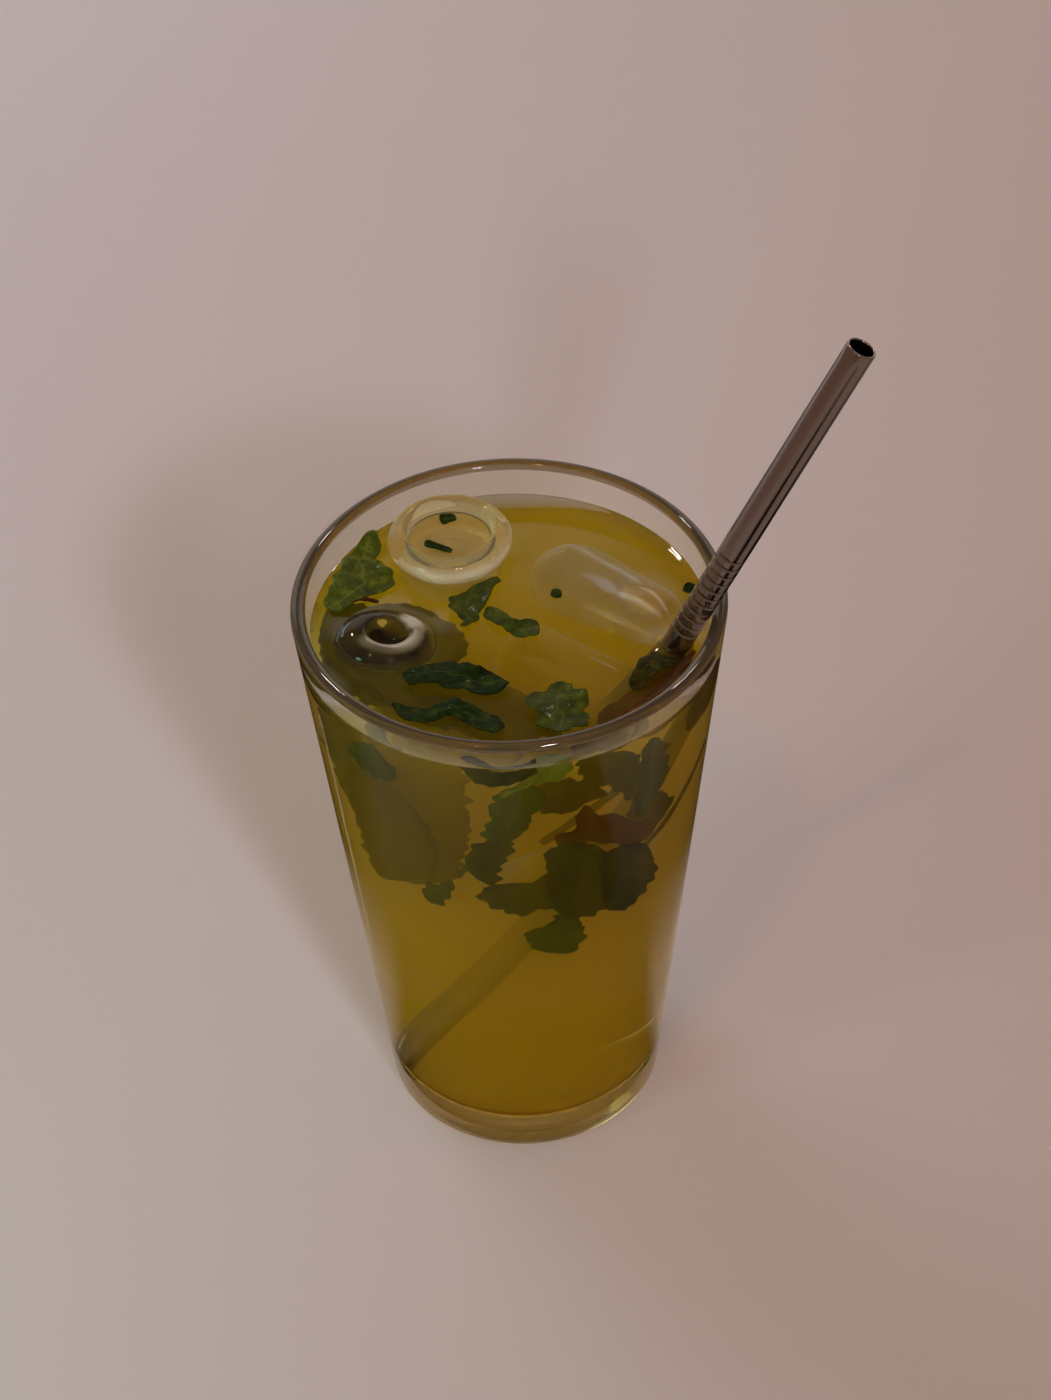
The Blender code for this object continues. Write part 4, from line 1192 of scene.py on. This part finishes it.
def make_bits(finish):
    """Loose leaf bits on the tea and on the melt water."""
    made = []
    for name, ((x, y), turn, length, width, level) in BITS.items():
        heading = Matrix.Translation((x, y, 0.0)) @ Matrix.Rotation(math.radians(turn), 4, "Z")
        shape = bit_shape(length, width)
        made.append(leaf_piece(name, shape, finish, level + BIT_CLEAR, heading))
    return made


# ---------------------------------------------------------------- stage, light and camera
FLOOR_SIZE = 3.0
FLOOR_LEVEL = -0.0004
ROOM_LIGHT = (0.270, 0.180, 0.133, 1.0)
SENSOR = 36.0
LENS = 79.714
CAMERA_PLACE = (0.0, -0.46999, 0.55907)
CAMERA_TURN = (46.2993, 1.4057, -1.6689)

# Lamps: kind, place, what it is aimed at, power, linear colour, size in metres or radians, if its
# light keeps its strength over any distance, and if shiny surfaces mirror it
LAMPS = {
    "near_lamp": ("AREA", (0.113, -0.391, 0.445), (0, 0, 0.10), 2.65, (0.76, 0.79, 1.0), 0.05,
                  True, True),
    "far_lamp": ("SUN", (-0.33, -0.70, 1.40), (0, 0, 0), 0.226, (1.0, 0.44, 0.12), math.radians(3),
                 False, True),
    "left_lamp": ("AREA", (-0.38, -0.24, 0.20), (0, 0, 0.03), 0.36, (0.42, 0.93, 1.0), 0.08,
                  False, False),
    "back_panel": ("AREA", (-0.70, 0.90, 0.50), (0, 0.20, 0), 4.8, (0.60, 0.80, 1.0), 0.8,
                   False, False),
}

# Cards that only shiny things mirror, painted reflections and highlights: place, width and length, tone,
# glow, and turn if it lies flat
CARDS = {
    "dark_card": ((0.062, -0.180, 0.002), (0.090, 0.24), "140C0A", 1.0, 12.0),
    "bright_strip": ((-0.095, -0.235, 0.002), (0.030, 0.16), "FFF0E8", 1.3, -30.0),
    "side_strip": ((-0.0725, 0.038, 0.0016), (0.004, 0.105), "FFF0E0", 0.35, 41.0),
    "back_spot_left": ((-0.30, 0.55, 0.90), (0.06, 0.06), "FFF6EC", 60.0, None),
    "back_spot_right": ((0.25, 0.62, 0.95), (0.06, 0.06), "FFF6EC", 60.0, None),
    "front_spot": ((0.113, -0.391, 0.445), (0.025, 0.025), "FFF6EC", 90.0, None),
}
CARDS_FACE = Vector((0.0, 0.0, 0.14))

# The glowing card behind, a painted reflection on the tea's level skin: its place, width and height, and
# the heights where it starts and ends to fade
GLOW = 1.0
GLOW_PLACE = (0.0, 0.55, 0.42)
GLOW_SIZE = (1.2, 0.48)
GLOW_FULL = 0.56
GLOW_TOP = 0.66

# The ring of painted dark reflection round the foot, which only the glass mirrors: where it starts and
# ends in front, at the sides and behind, and how far back it turns from the one to the other, as a sine
POOL_DARK = 0.080
POOL_EDGE = 0.150
POOL_NEAR = 0.035
POOL_FAR = 0.235
POOL_TURNS = (-0.25, 0.0)
POOL_LEVEL = 0.001
POOL_GAP = 0.003
POOL_STEPS = 96


def make_stage():
    """A pale paper floor. Its tone darkens with x - 0.6 y, a painted shade that stands in for the light
    falling off towards the right and the front, and drifts with a soft cloud.
    """
    made, tree, out = new_material("pale_paper")
    place = node(tree, "ShaderNodeTexCoord").outputs["Object"]
    cloud = node(tree, "ShaderNodeTexNoise", {
        "Vector": place, "Scale": 2.2, "Detail": 2.0, "Roughness": 0.5,
    }).outputs["Fac"]
    split = node(tree, "ShaderNodeSeparateXYZ", {"Vector": place})
    # Painted shade: the floor darkens towards the right and the front
    painted_falloff = node(tree, "ShaderNodeMath", {0: split.outputs["Y"], 1: -0.6, 2: split.outputs["X"]},
                 operation="MULTIPLY_ADD").outputs[0]
    shade = node(tree, "ShaderNodeMath", {0: cloud, 1: 0.05, 2: painted_falloff},
                 operation="MULTIPLY_ADD").outputs[0]
    share = node(tree, "ShaderNodeMapRange", {
        "Value": shade, "From Min": -0.375, "From Max": 0.225,
    }).outputs[0]
    colour = node(tree, "ShaderNodeValToRGB", {"Fac": share}, (
        (0.0, "E6DBD7"), (0.5, "E4D8D0"), (1.0, "D6C6BA"),
    )).outputs["Color"]
    shader = node(tree, "ShaderNodeBsdfPrincipled", {
        "Base Color": colour, "Roughness": 0.9, "Specular IOR Level": 0.2,
    })
    tree.links.new(shader.outputs[0], out.inputs["Surface"])
    corners = np.array([(-1, -1, 0), (1, -1, 0), (1, 1, 0), (-1, 1, 0)]) * FLOOR_SIZE
    floor = mesh_piece("paper_floor", corners + (0, 0, FLOOR_LEVEL), [(0, 1, 2, 3)])
    floor.data.materials.append(made)


def lamp(name, kind, place, aim, energy, colour, size, even, mirrored):
    """An area or sun lamp at a place, aimed at a point. An even one doesn't weaken with distance,
    as a large far one would, so that it lights the whole floor."""
    data = bpy.data.lights.new(name, kind)
    data.energy = energy
    data.color = colour
    if even:
        data.use_nodes = True
        tree = data.node_tree
        falloff = node(tree, "ShaderNodeLightFalloff", {"Strength": 1.0})
        tree.links.new(falloff.outputs["Constant"], tree.nodes["Emission"].inputs["Strength"])
    if kind == "AREA":
        data.shape = "DISK"
        data.size = size
    else:
        data.angle = size
    item = bpy.data.objects.new(name, data)
    bpy.context.scene.collection.objects.link(item)
    item.location = place
    item.rotation_mode = "QUATERNION"
    item.rotation_quaternion = (Vector(place) - Vector(aim)).to_track_quat("Z", "Y")
    item.visible_camera = False
    item.visible_glossy = mirrored


def make_light():
    """Soft warm light from all round, a near lamp in front, a far warm one, a faint cool one at the
    left and a cool panel behind."""
    world = bpy.data.worlds.new("soft_room")
    bpy.context.scene.world = world
    world.use_nodes = True
    back = world.node_tree.nodes["Background"]
    back.inputs["Color"].default_value = ROOM_LIGHT
    back.inputs["Strength"].default_value = 1.0
    for name, settings in LAMPS.items():
        lamp(name, *settings)


def only_mirrored(card, finish):
    """A card of the stage that only shiny surfaces see."""
    card.data.materials.append(finish)
    card.visible_camera = False
    card.visible_diffuse = False
    card.visible_transmission = False
    card.visible_volume_scatter = False
    card.visible_shadow = False


def flat_card(name, matrix, wide, long, finish):
    """A rectangle round the origin of a matrix, wide along its X and long along its Y."""
    corners = np.array([(-wide, -long, 0), (wide, -long, 0), (wide, long, 0), (-wide, long, 0)]) / 2
    only_mirrored(mesh_piece(name, placed(corners, matrix), [(0, 1, 2, 3)]), finish)


def make_cards():
    """Painted reflections: a dark card and a bright strip on the floor that paint the straw's dark middle
    and its highlight, a narrow strip that paints the streak down the glass's left side, and small spots
    that paint the sparkles."""
    for name, (place, (wide, long), tone, glow, turn) in CARDS.items():
        made, tree, out = new_material(name)
        shine = node(tree, "ShaderNodeEmission", {"Color": linear(tone), "Strength": glow})
        tree.links.new(shine.outputs[0], out.inputs["Surface"])
        facing = (CARDS_FACE - Vector(place)).to_track_quat("Z", "Y").to_matrix().to_4x4()
        if turn is not None:
            facing = Matrix.Rotation(math.radians(turn), 4, "Z")
        flat_card(name, Matrix.Translation(place) @ facing, wide, long, made)


def make_back_glow():
    """Painted sheen: an upright card behind, seen only in mirrors, which the tea's level skin mirrors as a
    pale sheen. It fades out towards its top edge."""
    made, tree, out = new_material("back_glow")
    place = node(tree, "ShaderNodeTexCoord").outputs["Object"]
    height = node(tree, "ShaderNodeSeparateXYZ", {"Vector": place}).outputs["Z"]
    fade = node(tree, "ShaderNodeMapRange", {
        "Value": height, "From Min": GLOW_FULL, "From Max": GLOW_TOP, "To Min": GLOW, "To Max": 0.0,
    }).outputs[0]
    shine = node(tree, "ShaderNodeEmission", {"Color": linear("FFF0E4"), "Strength": fade})
    tree.links.new(shine.outputs[0], out.inputs["Surface"])
    upright = Matrix.Translation(GLOW_PLACE) @ Matrix.Rotation(math.radians(90), 4, "X")
    flat_card("back_glow", upright, *GLOW_SIZE, made)


def make_shade_pool():
    """Painted reflection: a ring on the floor round the foot, seen only in mirrors, r from the middle, so
    that the glass wall mirrors a dark ring in place of the pale floor. In front it goes from dark to pale
    between two radii. At the sides and behind it is pale at the foot, then dark, and half pale at the far
    edge. The sine y/r mixes the two."""
    made, tree, out = new_material("shade_pool")
    place = node(tree, "ShaderNodeTexCoord").outputs["Object"]
    far = node(tree, "ShaderNodeVectorMath", {0: place}, operation="LENGTH").outputs["Value"]
    front = node(tree, "ShaderNodeMapRange", {
        "Value": far, "From Min": POOL_DARK, "From Max": POOL_EDGE,
    }).outputs[0]
    ring = node(tree, "ShaderNodeMapRange", {
        "Value": far, "From Min": POOL_NEAR, "From Max": POOL_FAR,
    }).outputs[0]
    side = node(tree, "ShaderNodeValToRGB", {"Fac": ring}, (
        (0.10, "FFFFFF"), (0.25, "000000"), (0.60, "000000"), (0.92, "C0C0C0"),
    )).outputs["Color"]
    y = node(tree, "ShaderNodeSeparateXYZ", {"Vector": place}).outputs["Y"]
    sine = node(tree, "ShaderNodeMath", {0: y, 1: far}, operation="DIVIDE").outputs[0]
    turn = node(tree, "ShaderNodeMapRange", {
        "Value": sine, "From Min": POOL_TURNS[0], "From Max": POOL_TURNS[1],
    }).outputs[0]
    share = node(tree, "ShaderNodeMix", {
        "Factor": turn, "A": front, "B": side,
    }, data_type="RGBA").outputs["Result"]
    tone = node(tree, "ShaderNodeValToRGB", {"Fac": share}, (
        (0.0, "1A1210"), (1.0, "A89488"),
    )).outputs["Color"]
    shine = node(tree, "ShaderNodeEmission", {"Color": tone, "Strength": 1.0})
    tree.links.new(shine.outputs[0], out.inputs["Surface"])
    radii = np.array([(FOOT_RADIUS + POOL_GAP, 0.0), (4 * POOL_EDGE, 0.0)])
    rings = rings_of(radii, POOL_STEPS) + (0.0, 0.0, POOL_LEVEL)
    only_mirrored(mesh_piece("shade_pool", rings.reshape(-1, 3), quads(2, POOL_STEPS)), made)


def make_camera():
    """The camera, in front and about 44 degrees up."""
    data = bpy.data.cameras.new("camera")
    data.sensor_width = SENSOR
    data.lens = LENS
    item = bpy.data.objects.new("camera", data)
    bpy.context.scene.collection.objects.link(item)
    item.location = CAMERA_PLACE
    item.rotation_euler = tuple(math.radians(turn) for turn in CAMERA_TURN)
    bpy.context.scene.camera = item


def main():
    """Clears what isn't of the frame, then makes each piece, attaches it to the root body and hides the
    solid it replaces.
    """
    for item in list(bpy.data.objects):
        if item.type in {"MESH", "LIGHT", "CAMERA"} and "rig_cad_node" not in item:
            bpy.data.objects.remove(item)
    bpy.context.scene.view_settings.view_transform = "Standard"
    cycles = bpy.context.scene.cycles
    cycles.transparent_max_bounces = 48
    cycles.max_bounces = 24
    cycles.transmission_bounces = 24
    cycles.volume_bounces = 3
    finishes = make_materials()
    make_camera()

    glass = make_glass(finishes)
    straw = make_straw(finishes["steel"])
    ice, cutters = make_ice(finishes)
    tea = make_tea(finishes, cutters)
    melt = make_melt(finishes["melt"])
    floating, sunken = make_leaves(finishes)
    bits = make_bits(finishes["deep"])

    stand_ins = {
        "glass": (glass, "clear_glass"),
        "metal_straw": (straw, "polished_steel"),
        "tea": (tea, "mate_tea"),
        "melt_water": (melt, "mate_tea"),
        "ice_cup_back": (ice["ice_cup"], "clear_ice"),
        "ice_oval_left": (ice["ice_oval"], "clear_ice"),
        "ice_bullet_right": (ice["ice_bullet"], "clear_ice"),
        **{solid: (leaf, "herb_leaf") for solid, leaf in floating.items()},
    }
    for solid, (piece, slot) in stand_ins.items():
        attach(piece, "root")
        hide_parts(solid)
    extra = [(ice["sunken_ice_middle"], "clear_ice"), (ice["sunken_ice_low"], "clear_ice")]
    extra += [(leaf, "herb_leaf") for leaf in [*sunken.values(), *bits]]
    for piece, slot in extra:
        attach(piece, "root")
    make_stage()
    make_light()
    make_cards()
    make_back_glow()
    make_shade_pool()


main()
